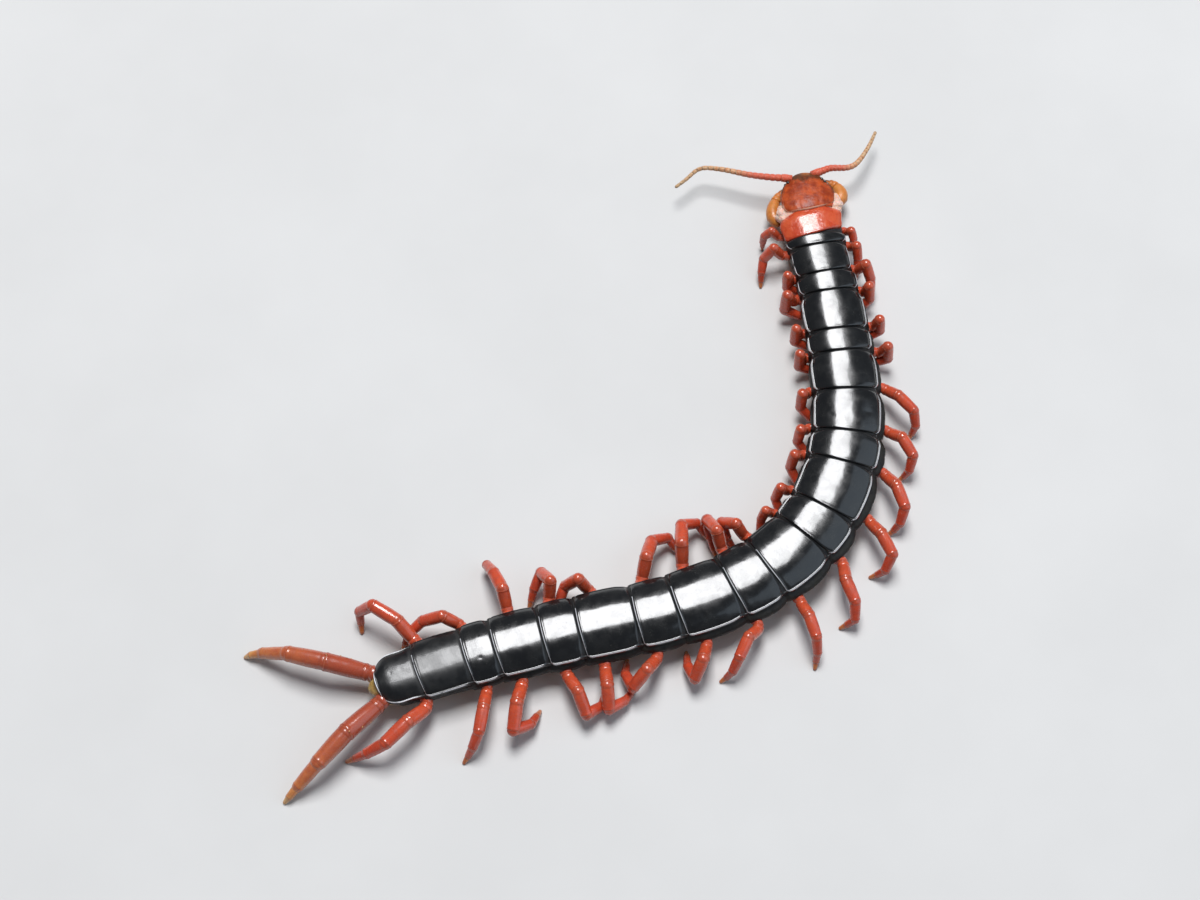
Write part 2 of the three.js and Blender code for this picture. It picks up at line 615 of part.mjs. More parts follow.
function fang(side) {
  const path = FANG_PATHS[side > 0 ? 'left' : 'right'];
  const points = path.map(([aside, behind, height]) => (
    place(HEAD_LENGTH + behind, side * aside, height)));
  const frame = station(HEAD_LENGTH + path[0][1]);
  const stops = points.map((point, i) => {
    const before = points[Math.max(i - 1, 0)];
    const after = points[Math.min(i + 1, points.length - 1)];
    const normal = i === 0
      ? frame.left.clone().multiplyScalar(side)
      : after.clone().sub(before).normalize();
    return { point, normal, radius: path[i][3] };
  });
  return tube(stops, FANG_SIDES);
}

// The whole animal, one mesh for each named piece
const centipede = new THREE.Group();

function add(name, geometry, color, roughness = 0.35) {
  const material = new THREE.MeshStandardMaterial({ color, roughness, metalness: 0 });
  const mesh = new THREE.Mesh(geometry, material);
  mesh.name = name;
  centipede.add(mesh);
}

const two = (number) => String(number).padStart(2, '0');

add('head', head(), COLOURS.head);
add('antenna_left', feeler(LEFT_FEELER), COLOURS.feeler, 0.6);
add('antenna_right', feeler(RIGHT_FEELER), COLOURS.feeler, 0.6);
add('forcipule_base', fangBase(), COLOURS.fangBase);
add('forcipule_left', fang(1), COLOURS.fang);
add('forcipule_right', fang(-1), COLOURS.fang);
add('trunk_01', trunkLength([1]), COLOURS.firstPlate);
for (let number = 2; number < PLATES.length; number += 2) {
  const name = `trunk_${two(number)}_${two(number + 1)}`;
  add(name, trunkLength([number, number + 1]), COLOURS.plate, 0.2);
}
for (let number = 1; number < PLATES.length; number += 1) {
  add(`leg_${two(number)}_left`, walkingLeg(number, 1), COLOURS.leg);
  add(`leg_${two(number)}_right`, walkingLeg(number, -1), COLOURS.leg);
}
add(`leg_${PLATES.length}_left`, tailLeg(1), COLOURS.tailLeg);
add(`leg_${PLATES.length}_right`, tailLeg(-1), COLOURS.tailLeg);

// The origin lies on the floor below the middle of the animal's bounding box
const bounds = new THREE.Box3().setFromObject(centipede);
const middle = bounds.getCenter(new THREE.Vector3());
centipede.position.set(-middle.x, -middle.y, -bounds.min.z);

export default centipede;
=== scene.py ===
# Giant centipede, still and life size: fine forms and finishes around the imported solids
import math

import bpy
import numpy as np
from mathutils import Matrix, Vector, noise


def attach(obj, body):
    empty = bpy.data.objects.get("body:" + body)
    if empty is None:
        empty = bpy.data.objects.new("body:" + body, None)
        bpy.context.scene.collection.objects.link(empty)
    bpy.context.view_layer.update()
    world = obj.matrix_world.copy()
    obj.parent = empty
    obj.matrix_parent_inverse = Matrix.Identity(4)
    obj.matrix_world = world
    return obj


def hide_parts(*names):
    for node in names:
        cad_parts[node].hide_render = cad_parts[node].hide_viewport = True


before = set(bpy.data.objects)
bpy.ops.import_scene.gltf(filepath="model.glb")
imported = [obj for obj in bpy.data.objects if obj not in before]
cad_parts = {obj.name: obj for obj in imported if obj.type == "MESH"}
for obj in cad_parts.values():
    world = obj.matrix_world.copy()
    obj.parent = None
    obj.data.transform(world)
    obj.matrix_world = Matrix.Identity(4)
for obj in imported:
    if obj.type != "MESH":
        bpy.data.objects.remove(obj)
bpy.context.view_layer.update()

# Sizes are millimetres in the drawing of the animal, whose zero lies under the camera's aim
MM = 0.001
ORIGIN = np.array([-1.965, -0.566, 0.0])  # floor point below the middle of the animal's box

# Middle line of the body seen from above, from the front of the head to the last plate
SPINE = [
    (35.6, 50.5), (36.0, 42.8), (37.1, 36.0), (38.8, 27.0), (40.2, 16.0),
    (40.9, 6.0), (39.9, -3.5), (36.3, -13.0), (30.2, -20.6), (21.5, -26.4),
    (11.0, -30.4), (0.0, -33.0), (-12.0, -35.8), (-24.0, -39.3), (-35.4, -43.2),
]
HEAD_LENGTH = 7.7

# Back plates, first to last: length, half width, height of the back above the floor
PLATES = [
    (5.0, 5.2, 7.3), (2.2, 5.1, 7.4), (5.4, 4.8, 7.5), (3.8, 5.0, 7.7), (7.4, 5.2, 7.8),
    (4.2, 5.3, 7.9), (7.1, 5.4, 7.9), (7.7, 5.5, 7.9), (5.6, 5.7, 7.9), (8.7, 5.7, 7.9),
    (5.9, 5.8, 7.9), (8.3, 5.8, 7.9), (6.6, 5.8, 7.9), (9.4, 5.7, 7.9), (6.7, 5.5, 7.9),
    (9.2, 5.5, 7.9), (5.9, 5.4, 7.8), (7.8, 5.2, 7.7), (4.9, 5.1, 7.5), (8.0, 4.8, 7.2),
    (6.6, 4.2, 6.8),
]
SEGMENTS = len(PLATES)
STARTS = HEAD_LENGTH + np.concatenate([[0.0], np.cumsum([length for length, _, _ in PLATES])])
BELLY = 2.0            # underside of the trunk above the floor
STEP = 0.42            # how far a plate's rear edge stands over the next plate
TUCK = 1.0             # how far a plate's front reaches under the one before
SHEET = 0.16           # thickness of a back plate
EDGE_FALL = 0.33       # part of the trunk's height from the ridge down to a plate's side edge
CROWN = 2.7            # how the back curves down towards its sides: 2 is round, more is flatter
CORNER = 0.95          # radius of a plate's rear corners
BOW = 0.45             # how far the middle of a plate's rear edge bows out behind its corners
FRONT_BELLY = 4.4      # underside of the trunk's front, above the fang base
FRONT_BELLY_END = 2.4  # where behind the neck the belly drops to its own height

# How far the soft flank stands out past each plate: most on the outside of the bend
BULGES = {
    1: [0, 0, 0, 0, 0, 0, 0.3, 0.5, 0.5, 0.5, 0.5, 0.5, 0.5, 0.5, 0.5, 0.5, 0.5, 0.5, 0.3, 0.2, 0],
    -1: [0.2, 0.2, 0.2, 0.3, 0.5, 0.7, 0.8, 0.9, 1.1, 1.2, 1.2, 1.2, 1.1, 0.9, 0.8, 0.7, 0.7, 0.6,
         0.3, 0, 0],
}

# Section of one side of the soft body: part of half width, part of height down, part of bulge
FLANK_SECTION = [
    (0.0, 0.13, 0.0), (0.42, 0.15, 0.0), (0.72, 0.21, 0.0), (0.86, 0.30, 0.0),
    (0.91, 0.38, 0.0), (0.94, 0.43, 0.2), (0.99, 0.52, 0.95), (1.0, 0.62, 1.0),
    (1.0, 0.72, 0.85), (0.96, 0.83, 0.5), (0.84, 0.93, 0.1), (0.62, 0.97, 0.0),
    (0.3, 0.98, 0.0), (0.0, 0.98, 0.0),
]

# Leg articles: prefemur, femur, tibia, first and second tarsus
LEG_LENGTHS = [3.3, 3.8, 3.1, 1.9, 1.6]
LEG_RADII = [(0.99, 1.05), (1.04, 0.98), (0.92, 0.80), (0.68, 0.57), (0.5, 0.32)]
HIP_HEIGHT = 3.5       # middle of a hip above the floor
HIP_REACH = 0.25       # how far a hip's face stands out past the flank
HIP_LIMIT = 35         # degrees by which a hip turns with its leg at most
HIP_RADIUS = 1.0
HIP_DEPTH = 2.0        # how far a hip reaches into the flank
GAP = 0.3              # between a hip's face and its leg
TROCHANTER = 0.55      # length of the short ring before the prefemur
ANKLE_HEIGHT = 0.95    # end of the first tarsus above the floor
TIBIA_SHARE = 0.6      # part of the way down to the ankle that the tibia takes
CLAW_SHARE = 0.78      # part of the second tarsus before the claw
LEG_SIDES = 18         # faces round a leg
LEG_PARTS = 6.0        # the trochanter and the five articles, as the finish counts them

# Part of a plate's length at which its legs leave the flank, left side then right
HIP_SHARES = {
    1: [0.63, 0.82, 0.82, 0.82, 0.82, 0.82, 0.82, 0.82, 0.82, 0.82, 0.82, 0.82, 0.62, 0.62, 0.62,
        0.62, 0.62, 0.54, 0.8, 0.8],
    -1: [0.76, 0.82, 0.82, 0.82, 0.82, 0.82, 0.82, 0.74, 0.82, 0.74, 0.82, 0.82, 0.82, 0.7, 0.7,
         0.7, 0.58, 0.63, 0.6, 1.0],
}

# Size of each walking leg against the usual one
LEG_SIZES = {
    1: [0.5, 0.78, 0.75, 0.92, 0.78, 0.78, 0.8, 0.75, 0.8, 0.75, 0.62, 0.93, 1.05, 1.15, 1.15, 1, 1,
        1.05, 1, 1.22],
    -1: [0.45, 0.65, 0.85, 0.78, 0.76, 0.82, 0.925, 0.92, 1, 1, 1, 0.94, 0.93, 1, 1.05, 1.05, 1.05,
         1.14, 1, 1.27],
}

# Pose of the walking legs in degrees, left side then right: swing of the prefemur ahead of
# straight out, turns of femur, tibia and tarsi away from it, rise of the prefemur, fold
LEG_POSES = {
    1: [
        (28, -30, -85, -105, 48, 98), (15, -30, -85, -92, 56, 109),
        (-12, -70, -160, -170, 76, 150), (-10, -55, -150, -165, 66, 140),
        (-10, -67, -162, -168, 75, 148), (-16, -67, -162, -168, 75, 148),
        (-50, -28, -90, -120, 62, 130), (-50, -24, -90, -120, 62, 130),
        (-55, -22, -80, -110, 62, 130), (-50, -24, -90, -120, 62, 130),
        (-62, -22, -60, -104, 62, 130), (-20, -5, -150, -165, 60, 103),
        (5, -2, -170, -176, 57, 93), (16, 5, 70, 140, 50, 75), (28, 0, 50, 125, 50, 80),
        (-54, -25, -90, -110, 60, 115), (20, -40, -160, -170, 57, 98),
        (0, -10, -14, 150, 45, 65), (-62, -14, -45, -75, 42, 72),
        (-28, -12, -42, -140, 34, 30),
    ],
    -1: [
        (-50, -20, -60, -80, 60, 115), (-55, -30, -45, -60, 60, 118),
        (-20, -45, -80, -110, 62, 120), (-25, -60, -140, -160, 74, 142),
        (-4, -70, -170, -175, 72, 150), (-14, -62, -170, -175, 68, 148),
        (-52, 4, -26, -78, 36, 48), (-40, -16, -62, -108, 38, 50),
        (-48, -8, -46, -85, 36, 46), (-36, -2, -58, -110, 32, 42), (-50, 21, 0, -74, 30, 40),
        (-16, -3, -12, -30, 34, 44), (-68, 15, 8, -22, 36, 50),
        (-32, -15, -145, -165, 40, 85), (-45, -15, -125, -155, 40, 80),
        (-8, 0, 120, 142, 32, 70), (15, -5, 100, 140, 28, 60), (-26, 3, 130, 165, 32, 55),
        (-23, -4, -22, -32, 32, 42), (-62, -3, -30, -38, 30, 38),
    ],
}

# The last, thick legs: lengths, radii, headings out from straight back, heights of the joints
TAIL_LENGTHS = [6.5, 6.3, 5.2, 2.2, 1.5]
TAIL_RADII = [(1.42, 1.54), (1.5, 1.3), (1.14, 0.94), (0.72, 0.6), (0.53, 0.36)]
TAIL_HEADINGS = {1: [30, 34, 32, 20, 12], -1: [28, 29, 24, 26, 22]}
TAIL_HEIGHTS = [4.0, 5.4, 4.6, 2.0, 1.0]
TAIL_STOUT = 1.3       # hips and claws of the last legs against those of a walking leg
TAIL_SIDE = 2.7        # root of a last leg from the body's middle line
TAIL_BACK = 0.4        # root of a last leg behind the last plate

# Feelers: points seen from above with their height, from the head out
FEELERS = {
    "left": [(31.4, 49.4, 5.6), (29.5, 49.6, 5.5), (26.0, 50.2, 5.3), (20.9, 51.6, 4.9),
             (17.4, 51.9, 4.5), (14.8, 49.8, 4.2), (12.9, 48.3, 4.0)],
    "right": [(38.4, 50.8, 5.5), (40.1, 51.5, 5.4), (43.1, 51.7, 5.3), (44.9, 53.0, 5.0),
              (46.9, 56.3, 4.5), (48.5, 60.0, 4.0)],
}
FEELER_ARTICLES = 20
FEELER_RADII = (0.62, 0.27)    # at the root and at the tip
FEELER_INSET = 0.28    # how far the last article's rounded end stays inside the solid's

# Head shield from its front edge back: distance, half width, top
HEAD_SHIELD = [
    (0.1, 0.9, 5.65), (0.7, 2.3, 6.05), (2.0, 3.7, 6.55), (3.9, 4.6, 6.95), (5.9, 4.6, 7.3),
    (7.9, 4.25, 7.4),
]
HEAD_FALL = 1.3        # how far the shield comes down to its side edge
HEAD_UNDERSIDE = 5.15  # at its front edge, above the floor
HEAD_CORNER = 1.1      # radius of its rear corners
HEAD_RIM = (0.07, 0.16, 0.09)        # height, distance in from the edge, width
HEAD_FURROWS = (0.06, 0.4, 0.09)     # depth, share of the half width, width
HEAD_BOW = 0.7         # how far the middle of its rear edge bows out
EYES = [(1.5, 2.85, 5.75), (2.1, 3.3, 5.9), (1.75, 3.35, 5.4), (2.4, 3.75, 5.5)]
EYE_RADIUS = 0.27

# Fang base under the head, from its front: distance behind the neck, half width left and right
FANG_BASE = [(-4.4, 2.1, 2.6), (-3.6, 2.9, 3.9), (-1.5, 3.9, 4.4), (0.6, 4.2, 4.2), (1.8, 4.2, 4.2)]
FANG_BASE_GROOVE = (0.14, 0, 0.22)   # depth, place, width
TEETH = [0.5, 0.95, 1.4, 1.85]       # aside from the middle
FANG_BASE_BOTTOM = 2.1
FANG_BASE_TOP = 4.3

# Fangs from root to tip: out from the middle, behind the neck, height, radius. The right one is
# opened further and reaches further ahead.
FANG_PATHS = {
    1: [(5.0, 0.5, 3.3, 1.0), (5.9, -0.2, 3.4, 1.2), (5.9, -2.0, 3.3, 1.1), (4.9, -4.2, 3.1, 0.8),
        (3.4, -5.7, 2.9, 0.55), (1.7, -6.5, 2.8, 0.28)],
    -1: [(5.2, -2.6, 3.3, 1.0), (6.0, -3.5, 3.4, 1.2), (6.0, -5.0, 3.3, 1.1), (4.9, -6.5, 3.1, 0.8),
         (3.3, -7.0, 2.9, 0.55), (1.6, -6.9, 2.8, 0.28)],
}

UP = np.array([0.0, 0.0, 1.0])


# Curves and places

class Curve:
    """A smooth curve through given points, read by the distance along it."""

    def __init__(self, points, steps=120):
        p = np.array([(*q, 0.0)[:3] for q in points], float)
        padded = np.vstack([2 * p[0] - p[1], p, 2 * p[-1] - p[-2]])
        t = np.linspace(0, 1, steps, endpoint=False)[:, None]
        spans = []
        for a, b, c, d in zip(padded, padded[1:], padded[2:], padded[3:]):
            cubic = (3 * b - a - 3 * c + d) * t ** 3
            spans.append(0.5 * (2 * b + (c - a) * t + (2 * a - 5 * b + 4 * c - d) * t ** 2 + cubic))
        self.points = np.vstack(spans + [p[-1:]])
        gaps = np.linalg.norm(np.diff(self.points, axis=0), axis=1)
        self.distances = np.concatenate([[0.0], np.cumsum(gaps)])
        self.length = self.distances[-1]
        ways = np.gradient(self.points, self.distances, axis=0)
        self.ways = ways / np.linalg.norm(ways, axis=1)[:, None]

    def at(self, distance):
        """Points and directions at these distances, straight on beyond either end."""
        distance = np.asarray(distance, float)
        inside = np.clip(distance, 0, self.length)
        point = np.stack([np.interp(inside, self.distances, c) for c in self.points.T], -1)
        way = np.stack([np.interp(inside, self.distances, c) for c in self.ways.T], -1)
        return point + way * (distance - inside)[..., None], way


spine = Curve(SPINE)


def place(distance, aside, height):
    """Points beside the body's middle line: aside is positive on the animal's left."""
    distance, aside, height = np.broadcast_arrays(distance, aside, height)
    point, back = spine.at(distance)
    left = np.stack([back[..., 1], -back[..., 0], 0 * back[..., 0]], -1)
    return point + left * aside[..., None] + UP * height[..., None]


def smooth(value, low=0.0, high=1.0):
    """Goes softly from 0 at low to 1 at high."""
    t = np.clip((np.asarray(value, float) - low) / (high - low), 0, 1)
    return t * t * (3 - 2 * t)


def ridge(value, centre, width):
    return np.exp(-((value - centre) / width) ** 2)


def heading(back, side, swing, rise=0.0):
    """Direction out from the body's side, swung ahead and raised by degrees."""
    a, e = math.radians(swing), math.radians(rise)
    left = np.array([back[1], -back[0], 0.0])
    level = left * side * math.cos(a) - back * math.sin(a)
    return level * math.cos(e) + UP * math.sin(e)


def unit(vector):
    return vector / np.linalg.norm(vector)


# Forms

class Form:
    """Faces of one piece in millimetres, with the lay of each point, which the finishes read:
    usually its distance along the piece, its distance across, and one more measure."""

    def __init__(self):
        self.points, self.lays, self.faces = [], [], []
        self.count = 0

    def add(self, points, quads, lays, fans=()):
        """A closed surface: rows of four corners, and fans of three-cornered faces."""
        points = np.asarray(points, float).reshape(-1, 3)
        lays = np.asarray(lays, float).reshape(-1, 3)
        quads = np.asarray(quads, int)
        tris = np.vstack([quads[:, [0, 1, 2]], quads[:, [0, 2, 3]]] + [np.asarray(f) for f in fans])
        a, b, c = (points[tris[:, i]] for i in range(3))
        inside_out = np.einsum("ij,ij->i", a, np.cross(b, c)).sum() < 0
        faces = [quads + self.count] + [np.asarray(f) + self.count for f in fans]
        for block in faces:
            self.faces.extend((block[:, ::-1] if inside_out else block).tolist())
        self.points.append(points)
        self.lays.append(lays)
        self.count += len(points)

    def tube(self, rings, lays):
        """Rings of equal count joined to a tube with closed ends."""
        rings, lays = np.asarray(rings, float), np.asarray(lays, float)
        rows, sides = rings.shape[:2]
        r, s = np.meshgrid(np.arange(rows - 1), np.arange(sides), indexing="ij")
        a, b = r * sides + s, r * sides + (s + 1) % sides
        quads = np.stack([a, b, b + sides, a + sides], -1).reshape(-1, 4)
        ends, fans = [], []
        for row, hub in ((0, rows * sides), (rows - 1, rows * sides + 1)):
            i = row * sides + np.arange(sides)
            j = row * sides + (np.arange(sides) + 1) % sides
            order = [j, i] if row == 0 else [i, j]
            fans.append(np.stack([*order, np.full(sides, hub)], -1))
            ends.append(row)
        points = np.vstack([rings.reshape(-1, 3), rings[ends].mean(axis=1)])
        self.add(points, quads, np.vstack([lays.reshape(-1, 3), lays[ends].mean(axis=1)]), fans)

    def sheet(self, top, under, lays):
        """Two grids of points, one over the other, closed along their border."""
        rows, columns = top.shape[:2]
        r, c = np.meshgrid(np.arange(rows - 1), np.arange(columns - 1), indexing="ij")
        a = (r * columns + c).ravel()
        upper = np.stack([a, a + 1, a + columns + 1, a + columns], -1)
        n = rows * columns
        border = np.concatenate([
            np.arange(columns), np.arange(1, rows) * columns + columns - 1,
            (rows - 1) * columns + np.arange(columns - 2, -1, -1),
            np.arange(rows - 2, 0, -1) * columns,
        ])
        after = np.roll(border, -1)
        sides = np.stack([border, border + n, after + n, after], -1)
        quads = np.vstack([upper, upper[:, ::-1] + n, sides])
        self.add(np.vstack([top.reshape(-1, 3), under.reshape(-1, 3)]), quads,
                 np.vstack([lays.reshape(-1, 3)] * 2))


def make_piece(name, form, finish, slot, *nodes):
    """Turns a form into an object that rides with the body and stands for these nodes."""
    points = (np.vstack(form.points) - ORIGIN) * MM
    mesh = bpy.data.meshes.new(name)
    mesh.from_pydata(points.tolist(), [], form.faces)
    lay = mesh.attributes.new("lay", "FLOAT_VECTOR", "POINT")
    lay.data.foreach_set("vector", np.vstack(form.lays).astype(np.float32).ravel())
    mesh.shade_smooth()
    mesh.materials.append(finish)
    piece = bpy.data.objects.new(name, mesh)
    bpy.context.scene.collection.objects.link(piece)
    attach(piece, "root")
    if nodes:
        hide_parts(*nodes)
    return piece


def rings_along(points, ways, radii, sides, flat=1.0, floor=0.0):
    """Rings round a path, turned with it without twisting; flat squeezes them in height."""
    normal = unit(ways[0])
    across = unit(np.cross(normal, UP))
    angles = 2 * np.pi * np.arange(sides) / sides
    rings = []
    for point, way, radius in zip(points, ways, radii):
        way = unit(way)
        across = unit(across - way * (across @ way))
        second = np.cross(way, across)
        ring = point + radius * (np.cos(angles)[:, None] * across + flat * np.sin(angles)[:, None] * second)
        ring[:, 2] = np.maximum(ring[:, 2], floor)
        rings.append(ring)
    return np.array(rings)


def tube_lays(alongs, sides, last=0.0):
    """Lay of a tube's points: distance along, share of a turn round it, and one constant."""
    around = np.broadcast_to(np.arange(sides) / sides, (len(alongs), sides))
    along = np.broadcast_to(np.asarray(alongs)[:, None], around.shape)
    return np.stack([along, around, np.full(around.shape, last)], -1)


def ball(form, centre, radius, lay, rows=7, sides=12):
    turns = np.linspace(0.12, math.pi - 0.12, rows)
    points = centre + np.outer(-np.cos(turns) * radius, UP)
    rings = rings_along(points, [UP + 1e-6] * rows, np.sin(turns) * radius, sides)
    form.tube(rings, np.broadcast_to(lay, (rows, sides, 3)))


def cone(form, root, way, length, radius, lay, bend=0.0, sides=8):
    """A small pointed spine that may bend down towards its tip."""
    shares = np.array([0.0, 0.25, 0.55, 0.8, 0.95, 1.0])
    points = root + np.outer(shares * length, unit(way)) - np.outer(shares ** 2 * bend, UP)
    ways = np.gradient(points, axis=0)
    radii = radius * np.sqrt(np.clip(1.02 - shares, 0.004, 1))
    form.tube(rings_along(points, ways, radii, sides), np.broadcast_to(lay, (len(shares), sides, 3)))


# Finishes

def put(tree, kind, inputs=None, output=0, **settings):
    """Adds a node, sets or links its inputs, and gives back one of its outputs."""
    node = tree.nodes.new(kind)
    for name, value in settings.items():
        setattr(node, name, value)
    for key, value in (inputs or {}).items():
        if isinstance(value, bpy.types.NodeSocket):
            tree.links.new(value, node.inputs[key])
        else:
            node.inputs[key].default_value = value
    return node.outputs[output]


def maths(tree, operation, *values):
    return put(tree, "ShaderNodeMath", dict(enumerate(values)), operation=operation)


def blend(tree, share, first, second):
    """Mixes two colours by a share."""
    return put(tree, "ShaderNodeMix", {0: share, 6: first, 7: second}, 2, data_type="RGBA")


def spread(tree, value, low, high, to_low=0.0, to_high=1.0):
    return put(tree, "ShaderNodeMapRange",
               {"Value": value, "From Min": low, "From Max": high, "To Min": to_low,
                "To Max": to_high}, interpolation_type="SMOOTHSTEP")


def new_group(name, inputs, outputs):
    """An empty shared effect with named inputs and outputs; inputs give type and value."""
    group = bpy.data.node_groups.new(name, "ShaderNodeTree")
    for label, (kind, value) in inputs.items():
        socket = group.interface.new_socket(name=label, in_out="INPUT", socket_type=kind)
        if value is not None:
            socket.default_value = value
    for label, kind in outputs.items():
        group.interface.new_socket(name=label, in_out="OUTPUT", socket_type=kind)
    return group, group.nodes.new("NodeGroupInput").outputs, group.nodes.new("NodeGroupOutput").inputs


VECTOR, NUMBER = "NodeSocketVector", "NodeSocketFloat"


def streaks_group():
    """Fine wrinkles that run across a plate."""
    group, given, wanted = new_group(
        "cross_streaks", {"Lay": (VECTOR, None), "Per mm": (NUMBER, 9.0), "Length": (NUMBER, 0.12)},
        {"Height": NUMBER})
    parts = put(group, "ShaderNodeSeparateXYZ", {0: given["Lay"]}).node.outputs
    along = maths(group, "MULTIPLY", parts[0], given["Per mm"])
    across = maths(group, "MULTIPLY", maths(group, "MULTIPLY", parts[1], given["Per mm"]), given["Length"])
    vector = put(group, "ShaderNodeCombineXYZ", {0: along, 1: across})
    height = put(group, "ShaderNodeTexNoise", {"Vector": vector, "Scale": 1.0, "Detail": 3.0})
    group.links.new(height, wanted["Height"])
    return group


def pits_group():
    """Small sunken pores, fewer in some places."""
    group, given, wanted = new_group(
        "pores", {"Place": (VECTOR, None), "Per mm": (NUMBER, 2.2), "Size": (NUMBER, 0.16)},
        {"Height": NUMBER})
    distance = put(group, "ShaderNodeTexVoronoi", {"Vector": given["Place"], "Scale": given["Per mm"]})
    pit = put(group, "ShaderNodeMapRange", {"Value": distance, "From Min": 0.0, "From Max": given["Size"]},
              interpolation_type="SMOOTHSTEP")
    patchy = put(group, "ShaderNodeTexNoise", {"Vector": given["Place"], "Scale": 0.35, "Detail": 1.0})
    bare = spread(group, patchy, 0.42, 0.56, 1.0, 0.0)
    group.links.new(maths(group, "MAXIMUM", pit, bare), wanted["Height"])
    return group


def mottle_group():
    """Soft clouds of a second tone."""
    group, given, wanted = new_group(
        "mottle", {"Place": (VECTOR, None), "Per mm": (NUMBER, 0.5), "Low": (NUMBER, 0.35),
                   "High": (NUMBER, 0.65)}, {"Mask": NUMBER})
    cloud = put(group, "ShaderNodeTexNoise",
                {"Vector": given["Place"], "Scale": given["Per mm"], "Detail": 4.0, "Roughness": 0.6})
    mask = put(group, "ShaderNodeMapRange",
               {"Value": cloud, "From Min": given["Low"], "From Max": given["High"]},
               interpolation_type="SMOOTHSTEP")
    group.links.new(mask, wanted["Mask"])
    return group


def joints_group():
    """Bands beside the joints of a leg or feeler, from the count of articles along it."""
    group, given, wanted = new_group(
        "joint_bands", {"Along": (NUMBER, 0.0), "Width": (NUMBER, 0.06)}, {"Mask": NUMBER})
    share = maths(group, "FRACT", given["Along"])
    near = maths(group, "MINIMUM", share, maths(group, "SUBTRACT", 1.0, share))
    mask = put(group, "ShaderNodeMapRange",
               {"Value": near, "From Min": 0.0, "From Max": given["Width"], "To Min": 1.0, "To Max": 0.0},
               interpolation_type="SMOOTHSTEP")
    group.links.new(mask, wanted["Mask"])
    return group


def dust_group():
    """Fine pale grains that settle on what faces up."""
    group, given, wanted = new_group(
        "settled_dust", {"Place": (VECTOR, None), "Amount": (NUMBER, 0.5)}, {"Mask": NUMBER})
    up = put(group, "ShaderNodeSeparateXYZ", {0: put(group, "ShaderNodeNewGeometry", output=1)}, 2)
    grain = put(group, "ShaderNodeTexNoise", {"Vector": given["Place"], "Scale": 14.0, "Detail": 3.0})
    patch = put(group, "ShaderNodeTexNoise", {"Vector": given["Place"], "Scale": 0.6, "Detail": 2.0})
    mask = maths(group, "MULTIPLY", spread(group, grain, 0.58, 0.7), spread(group, patch, 0.45, 0.7))
    mask = maths(group, "MULTIPLY", mask, spread(group, up, 0.2, 0.9))
    group.links.new(maths(group, "MULTIPLY", mask, given["Amount"]), wanted["Mask"])
    return group


STREAKS, PITS, MOTTLE = streaks_group(), pits_group(), mottle_group()
JOINTS, DUST = joints_group(), dust_group()


class Finish:
    """A material under construction: its shader, its place in millimetres and its lay."""

    def __init__(self, name, roughness=0.3, **sockets):
        self.material = bpy.data.materials.new(name)
        self.material.use_nodes = True
        self.tree = self.material.node_tree
        self.shader = self.tree.nodes["Principled BSDF"]
        self.shader.inputs["Roughness"].default_value = roughness
        for label, value in sockets.items():
            self.shader.inputs[label.replace("_", " ")].default_value = value
        where = put(self.tree, "ShaderNodeTexCoord", output=3)
        self.place = put(self.tree, "ShaderNodeVectorMath", {0: where, 3: 1 / MM}, operation="SCALE")
        self.lay = put(self.tree, "ShaderNodeAttribute", output=1, attribute_name="lay")
        self.parts = put(self.tree, "ShaderNodeSeparateXYZ", {0: self.lay}).node.outputs

    def use(self, group, **values):
        """Places a shared effect, over this finish's own place or lay if it asks for either."""
        asked = {item.name for item in group.interface.items_tree}
        for label, socket in (("Place", self.place), ("Lay", self.lay)):
            if label in asked:
                values[label] = socket
        named = {label.replace("_", " "): value for label, value in values.items()}
        return put(self.tree, "ShaderNodeGroup", named, node_tree=group)

    def link(self, label, socket):
        self.tree.links.new(socket, self.shader.inputs[label])

    def colour(self, socket):
        self.link("Base Color", socket)

    def rough(self, socket):
        self.link("Roughness", socket)

    def relief(self, *layers):
        """Lays reliefs over each other, each a height and its depth in millimetres."""
        normal = None
        for height, depth in layers:
            inputs = {"Height": height, "Distance": depth * MM, "Strength": 1.0}
            if normal is not None:
                inputs["Normal"] = normal
            normal = put(self.tree, "ShaderNodeBump", inputs)
        self.link("Normal", normal)

    def ramp(self, value, *stops):
        """Colours along a value, each stop a position and a colour."""
        node = put(self.tree, "ShaderNodeValToRGB", {0: value}).node
        ramp = node.color_ramp
        while len(ramp.elements) < len(stops):
            ramp.elements.new(0.5)
        for element, (position, colour) in zip(ramp.elements, stops):
            element.position = position
            element.color = (*colour, 1.0)
        return node.outputs[0]


